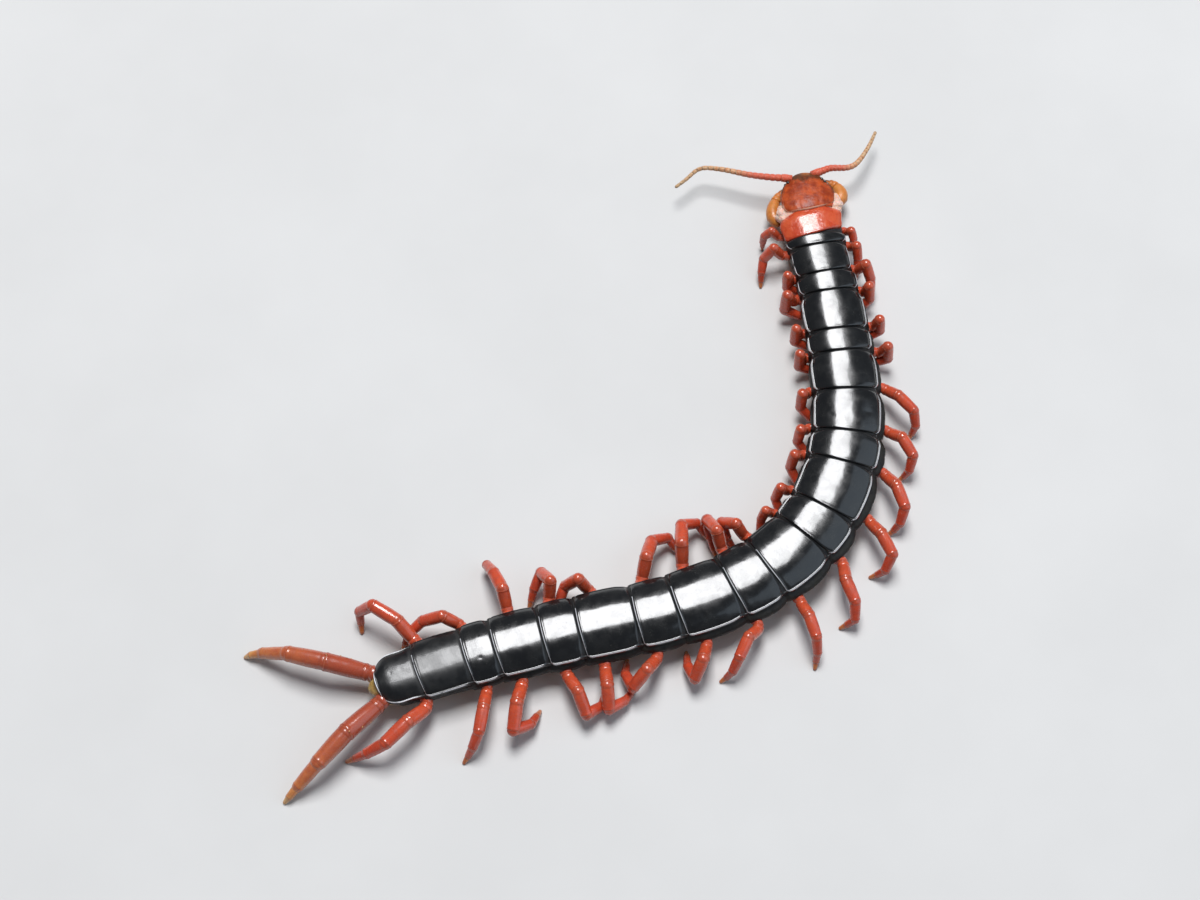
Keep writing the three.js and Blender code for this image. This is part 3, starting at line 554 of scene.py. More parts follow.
def black_plate_finish(name, dull, coat):
    """Glossy black with a painted highlight along the rim; dull is its least roughness, coat the gloss over
    it.
    """
    finish = Finish(name, Coat_Roughness=0.1, Specular_IOR_Level=0.5)
    tree = finish.tree
    tone = finish.use(MOTTLE, Per_mm=0.45)
    colour = blend(tree, tone, (0.0035, 0.0042, 0.0052, 1), (0.0075, 0.008, 0.0085, 1))
    # Painted highlight: a thin near-white line on the raised rim, broken by a mottle and left off the tucked
    # front
    line = maths(tree, "MULTIPLY", spread(tree, finish.parts[2], 0.07, 0.12),
                 spread(tree, finish.parts[2], 0.15, 0.21, 1.0, 0.0))
    broken = finish.use(MOTTLE, Per_mm=0.5, Low=0.25, High=0.45)
    back = spread(tree, finish.parts[0], 0.6, 1.8)
    line = maths(tree, "MULTIPLY", maths(tree, "MULTIPLY", line, broken), back)
    colour = blend(tree, line, colour, (0.86, 0.88, 0.92, 1))
    dust = finish.use(DUST, Amount=0.25)
    finish.colour(blend(tree, dust, colour, (0.16, 0.145, 0.12, 1)))
    shaded = spread(tree, finish.parts[0], 0.25, 0.7, 0.3, 0.0)
    dusty = maths(tree, "MULTIPLY", dust, 0.5)
    rough = maths(tree, "ADD", spread(tree, tone, 0, 1, dull, dull + 0.08), dusty)
    finish.rough(maths(tree, "ADD", rough, shaded))
    finish.link("Coat Weight", spread(tree, finish.parts[0], 0.25, 0.7, 0.0, coat))
    finish.relief((finish.use(STREAKS, Per_mm=7.0, Length=0.05), 0.013),
                  (finish.use(MOTTLE, Per_mm=0.8), 0.002),
                  (finish.use(PITS, Per_mm=1.5, Size=0.12), 0.015))
    return finish.material


def red_plate_finish():
    finish = Finish("red_first_plate", Coat_Weight=0.7, Coat_Roughness=0.14, Subsurface_Weight=0.12,
                    Subsurface_Scale=0.0006)
    tree = finish.tree
    tone = finish.use(MOTTLE, Per_mm=0.5)
    colour = blend(tree, tone, (0.48, 0.05, 0.014, 1), (0.58, 0.085, 0.022, 1))
    edge = spread(tree, finish.parts[2], 0.05, 0.7, 1.0, 0.0)
    finish.colour(blend(tree, maths(tree, "MULTIPLY", edge, 0.55), colour, (0.33, 0.028, 0.008, 1)))
    finish.rough(spread(tree, tone, 0, 1, 0.24, 0.36))
    finish.relief((finish.use(MOTTLE, Per_mm=0.5, Low=0.2, High=0.8), 0.12),
                  (finish.use(STREAKS, Per_mm=6.0, Length=0.14), 0.01),
                  (finish.use(PITS, Per_mm=1.7, Size=0.12), 0.018))
    return finish.material


def head_finish():
    finish = Finish("head_shield", Coat_Weight=0.1, Coat_Roughness=0.2, Specular_IOR_Level=0.3,
                    Subsurface_Weight=0.12, Subsurface_Scale=0.0006)
    tree = finish.tree
    tone = finish.use(MOTTLE, Per_mm=0.7)
    red = blend(tree, tone, (0.25, 0.030, 0.006, 1), (0.45, 0.068, 0.010, 1))
    patch = finish.use(MOTTLE, Per_mm=0.8, Low=0.25, High=0.6)
    wavy = maths(tree, "ADD", finish.parts[0], spread(tree, patch, 0, 1, -0.7, 0.5))
    front = spread(tree, wavy, 0.9, 3.2, 1.0, 0.0)
    rim = spread(tree, finish.parts[2], 0.05, 0.8, 1.0, 0.0)
    ahead = spread(tree, finish.parts[0], 3.0, 5.5, 1.0, 0.25)
    shade = maths(tree, "MAXIMUM", maths(tree, "MULTIPLY", front, 0.92), maths(tree, "MULTIPLY", rim, ahead))
    colour = blend(tree, shade, red, (0.062, 0.028, 0.010, 1))
    spot = maths(tree, "MULTIPLY", spread(tree, finish.parts[0], 0.25, 1.3, 1.0, 0.0),
                 spread(tree, maths(tree, "ABSOLUTE", finish.parts[1]), 0.2, 1.3, 1.0, 0.0))
    colour = blend(tree, maths(tree, "MULTIPLY", spot, 0.75), colour, (0.42, 0.12, 0.025, 1))
    pale = spread(tree, finish.parts[2], 0.06, 0.26, 1.0, 0.0)
    pale = maths(tree, "MULTIPLY", pale, spread(tree, finish.parts[0], HEAD_LENGTH - 1.6, HEAD_LENGTH - 0.7))
    finish.colour(blend(tree, maths(tree, "MULTIPLY", pale, 0.9), colour, (0.78, 0.48, 0.34, 1)))
    finish.rough(spread(tree, tone, 0, 1, 0.36, 0.5))
    finish.relief((finish.use(MOTTLE, Per_mm=0.9), 0.05),
                  (finish.use(PITS, Per_mm=2.1, Size=0.2), 0.03))
    return finish.material


def leg_finish(name, root, middle, end, tip):
    """Glossy leg: colours from the hip to the tip, with a fine pale line at each joint."""
    finish = Finish(name, Coat_Weight=0.55, Coat_Roughness=0.08, Subsurface_Weight=0.15,
                    Subsurface_Scale=0.0005)
    tree = finish.tree
    along = maths(tree, "DIVIDE", finish.parts[0], LEG_PARTS)
    colour = finish.ramp(along, (0.0, root), (0.3, root), (0.58, middle), (0.78, end), (0.93, tip))
    tone = finish.use(MOTTLE, Per_mm=1.1)
    darker = blend(tree, maths(tree, "MULTIPLY", tone, 0.4), colour, (0.27, 0.034, 0.015, 1))
    shade = finish.use(JOINTS, Along=finish.parts[0], Width=0.1)
    darker = blend(tree, maths(tree, "MULTIPLY", shade, 0.45), darker, (0.24, 0.03, 0.012, 1))
    line = finish.use(JOINTS, Along=finish.parts[0], Width=0.022)
    finish.colour(blend(tree, maths(tree, "MULTIPLY", line, 0.35), darker, (0.60, 0.20, 0.10, 1)))
    finish.rough(spread(tree, tone, 0, 1, 0.2, 0.32))
    finish.relief((finish.use(MOTTLE, Per_mm=1.6), 0.006),
                  (finish.use(PITS, Per_mm=3.0, Size=0.14), 0.006))
    return finish.material


def fang_finish():
    finish = Finish("amber_fang", Coat_Weight=0.15, Coat_Roughness=0.15, Subsurface_Weight=0.2,
                    Subsurface_Scale=0.0008)
    tree = finish.tree
    tone = finish.use(MOTTLE, Per_mm=0.7)
    colour = blend(tree, tone, (0.47, 0.155, 0.026, 1), (0.57, 0.205, 0.038, 1))
    tip = spread(tree, finish.parts[0], 0.80, 0.95)
    colour = blend(tree, spread(tree, finish.parts[0], 0.45, 0.8, 0.0, 0.6), colour, (0.46, 0.09, 0.02, 1))
    finish.colour(blend(tree, tip, colour, (0.012, 0.007, 0.005, 1)))
    finish.rough(spread(tree, tone, 0, 1, 0.36, 0.5))
    finish.relief((finish.use(MOTTLE, Per_mm=0.8), 0.012),
                  (finish.use(PITS, Per_mm=2.2, Size=0.12), 0.012))
    return finish.material


def feeler_finish():
    finish = Finish("feeler", Subsurface_Weight=0.15, Subsurface_Scale=0.0004)
    tree = finish.tree
    along = maths(tree, "DIVIDE", finish.parts[0], float(FEELER_ARTICLES))
    colour = finish.ramp(along, (0.0, (0.62, 0.085, 0.035)), (0.26, (0.58, 0.09, 0.045)),
                         (0.42, (0.55, 0.22, 0.09)), (1.0, (0.40, 0.24, 0.11)))
    band = finish.use(JOINTS, Along=finish.parts[0], Width=0.2)
    dark = blend(tree, maths(tree, "MULTIPLY", band, spread(tree, along, 0.2, 0.5, 0.1, 0.85)), colour,
                 (0.10, 0.05, 0.025, 1))
    grain = finish.use(MOTTLE, Per_mm=3.0, Low=0.4, High=0.6)
    finish.colour(blend(tree, maths(tree, "MULTIPLY", grain, spread(tree, along, 0.2, 0.5, 0.1, 0.6)), dark,
                        (0.72, 0.52, 0.32, 1)))
    finish.rough(spread(tree, along, 0.2, 0.5, 0.35, 0.6))
    finish.relief((finish.use(MOTTLE, Per_mm=6.0), 0.03))
    return finish.material


def flank_finish():
    finish = Finish("dark_flank", Coat_Weight=0.05, Coat_Roughness=0.3, Specular_IOR_Level=0.3)
    tree = finish.tree
    tone = finish.use(MOTTLE, Per_mm=0.8)
    colour = blend(tree, tone, (0.004, 0.0043, 0.0045, 1), (0.012, 0.0115, 0.009, 1))
    low = spread(tree, finish.parts[2], 0.72, 0.9)
    finish.colour(blend(tree, low, colour, (0.33, 0.20, 0.085, 1)))
    finish.rough(spread(tree, tone, 0, 1, 0.38, 0.55))
    finish.relief((finish.use(STREAKS, Per_mm=2.2, Length=0.35), 0.07),
                  (finish.use(MOTTLE, Per_mm=4.0), 0.03))
    return finish.material


def belly_finish():
    finish = Finish("belly_plate", Coat_Weight=0.2, Coat_Roughness=0.15, Subsurface_Weight=0.15,
                    Subsurface_Scale=0.0006)
    tree = finish.tree
    tone = finish.use(MOTTLE, Per_mm=0.6)
    colour = blend(tree, tone, (0.42, 0.25, 0.09, 1), (0.60, 0.40, 0.19, 1))
    edge = spread(tree, finish.parts[2], 0.05, 0.6, 1.0, 0.0)
    finish.colour(blend(tree, maths(tree, "MULTIPLY", edge, 0.7), colour, (0.20, 0.10, 0.035, 1)))
    finish.rough(spread(tree, tone, 0, 1, 0.28, 0.4))
    finish.relief((finish.use(STREAKS, Per_mm=5.0, Length=0.2), 0.015),
                  (finish.use(PITS, Per_mm=2.0, Size=0.13), 0.02))
    return finish.material


def membrane_finish():
    finish = Finish("neck_membrane", Subsurface_Weight=0.3, Subsurface_Scale=0.0008)
    tree = finish.tree
    tone = finish.use(MOTTLE, Per_mm=0.9, Low=0.4, High=0.66)
    finish.colour(blend(tree, tone, (0.80, 0.53, 0.44, 1), (0.70, 0.36, 0.25, 1)))
    finish.rough(spread(tree, tone, 0, 1, 0.4, 0.55))
    finish.relief((finish.use(MOTTLE, Per_mm=1.0), 0.12),
                  (finish.use(MOTTLE, Per_mm=3.0), 0.03))
    return finish.material


def tail_end_finish():
    finish = Finish("tail_end", Coat_Weight=0.2, Coat_Roughness=0.15, Subsurface_Weight=0.15,
                    Subsurface_Scale=0.0006)
    tree = finish.tree
    tone = finish.use(MOTTLE, Per_mm=0.9)
    finish.colour(blend(tree, tone, (0.30, 0.19, 0.05, 1), (0.46, 0.30, 0.10, 1)))
    finish.rough(spread(tree, tone, 0, 1, 0.3, 0.42))
    finish.relief((finish.use(MOTTLE, Per_mm=2.0), 0.03))
    return finish.material


def claw_finish():
    finish = Finish("claw", Coat_Weight=0.3, Coat_Roughness=0.1)
    tree = finish.tree
    tone = finish.use(MOTTLE, Per_mm=3.0)
    amber = blend(tree, tone, (0.34, 0.11, 0.025, 1), (0.46, 0.18, 0.04, 1))
    finish.colour(blend(tree, spread(tree, finish.parts[0], 0.3, 0.8), amber, (0.025, 0.011, 0.006, 1)))
    finish.rough(spread(tree, tone, 0, 1, 0.2, 0.32))
    finish.relief((finish.use(MOTTLE, Per_mm=6.0), 0.01))
    return finish.material


def eye_finish():
    finish = Finish("eye", Coat_Weight=1.0, Coat_Roughness=0.03)
    tree = finish.tree
    tone = finish.use(MOTTLE, Per_mm=3.0)
    finish.colour(blend(tree, tone, (0.006, 0.004, 0.003, 1), (0.022, 0.012, 0.008, 1)))
    finish.rough(spread(tree, tone, 0, 1, 0.08, 0.14))
    finish.relief((finish.use(MOTTLE, Per_mm=8.0), 0.004))
    return finish.material


def floor_finish():
    finish = Finish("pale_floor", Specular_IOR_Level=0.2)
    tree = finish.tree
    tone = finish.use(MOTTLE, Per_mm=0.02, Low=0.2, High=0.8)
    finish.colour(blend(tree, tone, (0.58, 0.575, 0.565, 1), (0.62, 0.615, 0.605, 1)))
    finish.rough(spread(tree, tone, 0, 1, 0.8, 0.9))
    return finish.material


black_plate = black_plate_finish("black_back_plate", 0.18, 0.5)
dull_plate = black_plate_finish("dull_rear_plate", 0.3, 0.2)
red_plate = red_plate_finish()
head_red = head_finish()
leg_red = leg_finish("red_leg", (0.58, 0.085, 0.034), (0.52, 0.062, 0.026), (0.42, 0.05, 0.02),
                     (0.48, 0.16, 0.05))
tail_leg_brown = leg_finish("tail_leg", (0.37, 0.07, 0.032), (0.52, 0.15, 0.055),
                            (0.58, 0.25, 0.08), (0.66, 0.42, 0.16))
fang_amber = fang_finish()
feeler_red = feeler_finish()
flank_dark = flank_finish()
belly_ochre = belly_finish()
membrane_pink = membrane_finish()
tail_end_olive = tail_end_finish()
claw_dark = claw_finish()
eye_black = eye_finish()


# Back plates

HALF_COLUMNS = np.array([
    0, 0.05, 0.1, 0.15, 0.2, 0.25, 0.29, 0.31, 0.322, 0.33, 0.34, 0.348, 0.36, 0.38, 0.42, 0.46,
    0.5, 0.54, 0.58, 0.62, 0.66, 0.7, 0.74, 0.78, 0.81, 0.84, 0.865, 0.885, 0.9, 0.912, 0.924,
    0.936, 0.948, 0.958, 0.967, 0.975, 0.983, 0.99, 0.996, 1.0,
])
COLUMNS = np.concatenate([-HALF_COLUMNS[:0:-1], HALF_COLUMNS])
FRONT_RUN = 0.5          # length over which a plate rises from under the one before, in the middle
CORNER_RUN = 0.5         # how much longer that rise is at the sides
LAST_CORNER = 3.2        # radius of the rear corners of the last plate
FRONT_CORNER = 1.7       # radius of the first plate's front corners
FIRST_LINED_REAR = 12    # from this plate on the raised rim also runs along the rear edge
NECK_SLANT = 0.12        # how far the first plate and the head are turned to the animal's left

# Shallow dents in some plates: behind the front, aside, depth, radius
DENTS = {
    3: [(3.6, 2.9, 0.05, 0.35), (2.2, -3.4, 0.04, 0.3)], 5: [(4.6, -3.6, 0.05, 0.4)],
    8: [(4.4, -3.3, 0.06, 0.4), (5.2, 2.8, 0.04, 0.5)], 11: [(2.6, -3.6, 0.05, 0.35)],
    14: [(6.0, -3.4, 0.05, 0.4)], 19: [(2.6, -1.6, 0.04, 0.3)],
    21: [(3.9, 0.6, 0.04, 0.22), (3.1, -0.3, 0.02, 0.16), (4.3, 1.7, 0.02, 0.2)],
}

# Rows of points of a plate, behind its front and ahead of its rear
FIRST_PLATE_ROWS = [0.1, 0.14, 0.2, 0.3, 0.45, 0.65]
FRONT_ROWS = [-TUCK, -0.6, -0.3, -0.1, 0.0, 0.08, 0.16, 0.24, 0.32, 0.4, 0.5, 0.62, 0.76, 0.92]
REAR_ROWS = np.array([0.8, 0.6, 0.45, 0.34, 0.25, 0.18, 0.12, 0.075, 0.035, 0.0])
ROW_SPACING = 0.26

# Raised and sunken lines of a plate: height, distance in from the edge, width
RIM_RIDGE = (0.11, 0.19, 0.10)
RIM_GROOVE = (0.05, 0.44, 0.12)
REAR_LIP = (0.02, 0.28, 0.16)
LAST_GROOVE = (0.03, 0, 0.5)    # along the middle of the last plate
PLATE_DROP = 0.035       # how far a plate's face lies below its height, to leave room for the rim
LINED_DROP = 0.1         # how much further it lies below at the rear, if the rim runs along there


def wobble(along, across, seed, size=0.45):
    """Gentle unevenness between -1 and 1, the same on each run."""
    flat = [noise.noise(Vector((a * size, b * size, seed))) for a, b in zip(along.ravel(), across.ravel())]
    return np.array(flat).reshape(along.shape)


def rounded_corner(from_end, radius):
    """How far an edge comes in near its end, for a corner of this radius."""
    inside = np.clip(radius - from_end, 0, radius)
    return radius - np.sqrt(np.maximum(radius ** 2 - inside ** 2, 0))


def fold(value, size):
    """A raised or sunken line with a height, a place and a width."""
    height, at, wide = size
    return height * ridge(value, at, wide)


def plate_rows(number):
    """Distances behind a plate's front where it has rows of points, closest at its ends."""
    length = PLATES[number - 1][0]
    front = FIRST_PLATE_ROWS if number == 1 else FRONT_ROWS
    middle = np.linspace(0.9 if number == 1 else 1.1, length - 1.0, max(round(length / ROW_SPACING), 6))
    rows = np.concatenate([front, middle, length - REAR_ROWS])
    return rows if number == 1 else np.unique(rows.round(3))


def first_plate_measure(d):
    """Half width and height of the first plate, with rounded corners at both ends."""
    length, half, top = PLATES[0]
    width = half * (1.0 + 0.06 * ridge(d, 1.9, 1.3)) - rounded_corner(d - 0.1, FRONT_CORNER) * 0.9
    return width - rounded_corner(length - d, CORNER), top - 0.3 * (1 - smooth(d, 0, 1.6))


def plate_measure(number, d, x):
    """Half width and height of a plate, which widens and rises from under the one before."""
    length, half, top = PLATES[number - 1]
    _, half_before, top_before = PLATES[number - 2]
    low_half, low_top = half_before - 0.3, top_before - STEP
    width = low_half + (half - low_half) * smooth(d, 0, 0.3 * length)
    width = width + 0.12 * np.sin(np.pi * np.clip(d / length, 0, 1))
    if number == SEGMENTS:
        width = width - rounded_corner(length - d, LAST_CORNER) * 0.8
    else:
        width = width - rounded_corner(length - d, CORNER)
    rise = smooth(d, 0.04, FRONT_RUN + CORNER_RUN * np.abs(x) ** 2.5)
    return width, low_top + (top - low_top) * rise


def rim_strength(number, faint):
    """How strongly a plate's rim is raised: little on the first plates, less where it is faint."""
    strength = 1.0 if number > 4 else 0.45 if number > 3 else 0.15
    return strength * (1 - 0.6 * faint)


def plate_unevenness(number, d, aside, rear_edge):
    """Waviness and dents of a plate, and the slope and middle groove of the last one."""
    length = PLATES[number - 1][0]
    z = 0.022 * wobble(d, aside, number * 3.7) + 0.006 * wobble(d, aside, number * 5.1, 1.3)
    if number == SEGMENTS:
        z = z - 0.45 * smooth(d, 0.55 * length, length) ** 2
        z = z - fold(aside, LAST_GROOVE) * smooth(d, 0.5, 1.4) * smooth(rear_edge, 0.4, 1.4)
    for at, out, deep, wide in DENTS.get(number, ()):
        z = z - deep * np.exp(-((d - at) ** 2 + (aside - out) ** 2) / wide ** 2)
    return z


def back_plate(number):
    """One plate: its front tucked under the plate before, its rear edge over the next."""
    length, half, top = PLATES[number - 1]
    first, last = number == 1, number == SEGMENTS
    lined = number >= FIRST_LINED_REAR
    d, x = np.meshgrid(plate_rows(number), COLUMNS, indexing="ij")
    width, height = first_plate_measure(d) if first else plate_measure(number, d, x)
    aside = x * width
    side_edge = width * (1 - np.abs(x))
    rear_edge = length - d
    edge = np.minimum(side_edge, rear_edge)
    margin = edge if lined else side_edge
    # Where the painted rim highlight fades: the left side of the rear plates, whose raised rim is also lower
    # there
    faint = smooth(x, 0.5, 0.8) if lined and not last else 0 * x
    z = height - EDGE_FALL * (top - BELLY) * np.abs(x) ** CROWN
    z = z + rim_strength(number, faint) * (fold(margin, RIM_RIDGE) - fold(margin, RIM_GROOVE))
    z = z + fold(rear_edge, REAR_LIP) - PLATE_DROP
    if lined:
        z = z - LINED_DROP * smooth(d, 0.3 * length, length - 0.3)
    z = z - 0.22 * np.clip(1 - side_edge / 0.15, 0, 1) ** 2
    z = z - 0.20 * np.clip(1 - rear_edge / 0.2, 0, 1) ** 2
    z = z + plate_unevenness(number, d, aside, rear_edge)
    bow = (BOW * (1 - x ** 2) - 0.2) * np.clip(d / length, 0, 1)
    if first:
        bow = bow + NECK_SLANT * aside
    distance = STARTS[number - 1] + d + bow
    lead = 0.0 if first else TUCK
    thick = SHEET * smooth(np.minimum(edge, d + lead + 0.02), -0.05, 0.2)
    inset = 1 - 0.03 / half
    # Third lay: distance in from the edge; on the black plates it places the painted rim highlight, wider on
    # the last plate and moved off where that highlight fades
    painted = edge if first else margin * (0.7 if last else 1.0) + faint
    form = Form()
    form.sheet(place(distance, aside, z), place(distance, aside * inset, z - thick),
               np.stack([d, aside, painted], -1))
    return form


def make_back_plates():
    make_piece("first_plate", back_plate(1), red_plate, "first_plate", "trunk_01")
    for number in range(2, SEGMENTS + 1):
        even = number - number % 2
        node = f"trunk_{even:02d}_{even + 1:02d}"
        finish = dull_plate if number >= SEGMENTS - 1 else black_plate
        make_piece(f"back_plate_{number:02d}", back_plate(number), finish, "back_plate", node)


# Soft body between the back and belly plates

def profile(points, count):
    """Evenly spaced points on a smooth curve through a table of three columns."""
    curve = Curve(points)
    return curve.at(np.linspace(0, curve.length, count))[0]


def bulge_at(distance, side):
    """How far the flank stands out, changing softly from segment to segment."""
    middles = (STARTS[:-1] + STARTS[1:]) / 2
    return float(np.interp(distance, middles, BULGES[side]))


def trunk_measure(distance):
    """Half width, height, underside and two bulges of the soft body, and the share of a segment."""
    number = int(np.clip(np.searchsorted(STARTS, distance, "right"), 1, SEGMENTS))
    length, half, top = PLATES[number - 1]
    before = PLATES[max(number - 2, 0)]
    share = (distance - STARTS[number - 1]) / length
    rise = float(smooth(share, -0.1, 0.3))
    width = before[1] - 0.3 + (half - before[1] + 0.3) * rise
    height = before[2] - STEP + (top - before[2] + STEP) * rise
    full = 0.45 + 0.55 * math.sin(math.pi * min(max(share, 0), 1)) ** 0.7
    bulge = full * np.array([bulge_at(distance, 1), bulge_at(distance, -1)])
    bottom = BELLY
    if number == 1:
        down = float(smooth(distance - HEAD_LENGTH, FRONT_BELLY_END - 0.3, FRONT_BELLY_END + 0.3))
        bottom = FRONT_BELLY + (BELLY - FRONT_BELLY) * down
        width = half * (0.82 + 0.14 * float(smooth(share, -0.1, 0.3)))
        height = top - 0.25
        bulge = bulge * down
    if number == SEGMENTS:
        end = float(smooth(share, 0.45, 1.02))
        width = width * (1 - 0.52 * end)
        height = height - 1.0 * end
        bottom = bottom + 1.5 * end
        bulge = bulge * (1 - end)
    return width, height, bottom, bulge, share


# Two pleats round each segment of the flank: depth, share of the segment, width
PLEATS = [(0.10, 0.46, 0.035), (0.07, 0.8, 0.04)]
FLANK_START = 2.0        # behind the neck
FLANK_SPACING = 0.24     # between its rings of points


def make_flank():
    """The skin of the flanks in one piece, with two pleats round each segment."""
    half_section = profile(FLANK_SECTION, 34)
    mirrored = half_section[-2:0:-1] * [-1, 1, -1]
    section = np.vstack([half_section, mirrored])
    side = np.sign(section[:, 0])
    distances = np.arange(HEAD_LENGTH + FLANK_START, STARTS[-1] - 0.1, FLANK_SPACING)
    rings, lays = [], []
    for distance in distances:
        width, height, bottom, bulge, share = trunk_measure(distance)
        aside = section[:, 0] * width + section[:, 2] * np.where(side > 0, *bulge)
        z = height - section[:, 1] * (height - bottom)
        pleat = sum(fold(share, size) for size in PLEATS)
        folds = [noise.noise(Vector((distance * 1.1, a * 0.6, h * 1.6))) for a, h in zip(aside, z)]
        out = np.abs(section[:, 2])
        aside = aside - side * out * (pleat - 0.09 * np.array(folds))
        rings.append(place(distance, aside, z))
        lays.append(np.stack([np.full(len(aside), distance), z * side, section[:, 1]], -1))
    form = Form()
    form.tube(rings, lays)
    make_piece("flank_skin", form, flank_dark, "flank")


BELLY_SHARE = 0.62       # width of a belly plate against the body's
BELLY_MARGIN = 0.18      # bare skin before and behind each belly plate
BELLY_CORNER = 0.6
BELLY_SUTURE = 0.42      # place of a suture, from the middle to the side edge


def make_belly_plates():
    """Squarish plates along the belly, each with two sutures."""
    half_columns = HALF_COLUMNS[::2]
    columns = np.concatenate([-half_columns[:0:-1], half_columns])
    for number in range(1, SEGMENTS + 1):
        length, half, _ = PLATES[number - 1]
        start = FRONT_BELLY_END + 0.45 if number == 1 else BELLY_MARGIN
        end = length - BELLY_MARGIN
        rows = np.concatenate([start + REAR_ROWS[::-1], np.linspace(start + 1.0, end - 1.0, 10),
                               end - REAR_ROWS])
        rows = np.unique(np.clip(rows, start, end))
        d, x = np.meshgrid(rows, columns, indexing="ij")
        share = (d - start) / (end - start)
        width = BELLY_SHARE * half * (0.94 + 0.06 * np.sin(np.pi * share))
        if number == SEGMENTS:
            width = width * (1 - 0.5 * share)
        width = width - rounded_corner(d - start, BELLY_CORNER) - rounded_corner(end - d, BELLY_CORNER)
        aside = x * width
        edge = np.minimum(width * (1 - np.abs(x)), np.minimum(d - start, end - d))
        z = BELLY + 0.03 + 0.30 * np.clip(1 - edge / 0.5, 0, 1) ** 2
        z = z + 0.05 * ridge((np.abs(x) - BELLY_SUTURE) * width, 0, 0.08)
        z = z + 0.02 + 0.02 * wobble(d, aside, number * 2.3)
        if number == SEGMENTS:
            z = z + 1.2 * smooth(share, 0.3, 1.1)
        distance = STARTS[number - 1] + d
        form = Form()
        form.sheet(place(distance, aside, z), place(distance, aside * 0.98, z + 0.3),
                   np.stack([d, aside, edge], -1))
        make_piece(f"belly_plate_{number:02d}", form, belly_ochre, "belly")


SPIRACLES = [3, 5, 8, 10, 12, 14, 16, 18, 20]    # segments with breathing holes
SPIRACLE_HEIGHT = 4.4


def make_spiracles():
    """Oval breathing holes with a raised lip, on both flanks."""
    form = Form()
    turn = np.linspace(0, 2 * np.pi, 19)[:-1]
    tube_turn = np.linspace(0, 2 * np.pi, 9)[:-1]
    for number in SPIRACLES:
        length, half, _ = PLATES[number - 1]
        distance = STARTS[number - 1] + 0.45 * length
        for side in (1, -1):
            out = half - 0.06 + 0.97 * BULGES[side][number - 1]
            grid = []
            for a in turn:
                along, up = 0.42 * math.cos(a), 0.26 * math.sin(a)
                ring = [place(distance + along * (1 + 0.2 * math.cos(b)), side * (out + 0.09 * math.sin(b)),
                              SPIRACLE_HEIGHT + up * (1 + 0.3 * math.cos(b))) for b in tube_turn]
                grid.append(ring)
            grid = np.array(grid)
            r, s = np.meshgrid(np.arange(len(turn)), np.arange(len(tube_turn)), indexing="ij")
            n, m = len(turn), len(tube_turn)
            quads = np.stack([r * m + s, r * m + (s + 1) % m, (r + 1) % n * m + (s + 1) % m,
                              (r + 1) % n * m + s], -1).reshape(-1, 4)
            form.add(grid, quads, np.zeros((n * m, 3)))
    make_piece("spiracles", form, flank_dark, "flank")


# Legs

# Thickness of an article along its body, with a low collar at its far end
ARTICLE = np.array([
    (0.0, 0.955), (0.03, 0.96), (0.1, 0.985), (0.22, 1.01), (0.4, 1.03), (0.6, 1.025), (0.78, 1.005),
    (0.88, 0.995), (0.925, 1.0), (0.945, 1.025), (0.975, 1.03), (0.99, 1.0), (1.0, 0.965),
])
CAP = np.radians([75, 58, 42, 28, 14])    # rings of the rounded ends
LAST_ARTICLE = len(LEG_LENGTHS) - 1
SPURS = [(2, 0.4), (3, 0.34)]             # articles with a spur under their end, and its length
KNEE_SHARE = 0.07      # where along an article its rounded ends take their colour from


def article(form, start, end, radii, order, sides=LEG_SIDES, flat=0.96):
    """One article of a leg from joint to joint, rounded at both ends like a bent knee."""
    way = end - start
    length = np.linalg.norm(way)
    way = way / length
    root = radii[0] * ARTICLE[0, 1]
    tip = radii[1] * ARTICLE[-1, 1]
    body = (radii[0] + (radii[1] - radii[0]) * ARTICLE[:, 0]) * ARTICLE[:, 1]
    alongs = np.concatenate([-root * np.sin(CAP), ARTICLE[:, 0] * length, length + tip * np.sin(CAP[::-1])])
    thick = np.concatenate([root * np.cos(CAP), body, tip * np.cos(CAP[::-1])])
    rings = rings_along(start + np.outer(alongs, way), [way] * len(alongs), thick, sides, flat)
    shares = np.concatenate([np.full(len(CAP), KNEE_SHARE), np.clip(ARTICLE[:, 0], 0.001, 0.999),
                             np.full(len(CAP), 1 - KNEE_SHARE)])
    form.tube(rings, tube_lays(order + shares, sides, order))


def claw(form, start, end, radius, lift=0.12):
    """Pointed claw that curves down to the floor, with two small spines at its root."""
    way = end - start
    shares = np.linspace(0, 1, 9)
    points = start + np.outer(shares, way) + np.outer(lift * np.sin(np.pi * shares), UP)
    radii = radius * (1 - shares) ** 0.7 + 0.015
    points[:, 2] = np.maximum(points[:, 2], radii * 0.5)
    rings = rings_along(points, np.gradient(points, axis=0), radii, 10)
    form.tube(rings, tube_lays(shares, 10))
    across = unit(np.cross(way, UP))
    for side in (1, -1):
        root = start + across * side * radius * 0.5
        cone(form, root, way + across * side * 0.5 * np.linalg.norm(way), 0.4 * np.linalg.norm(way),
             radius * 0.3, (0.6, 0, 0), bend=0.03, sides=6)


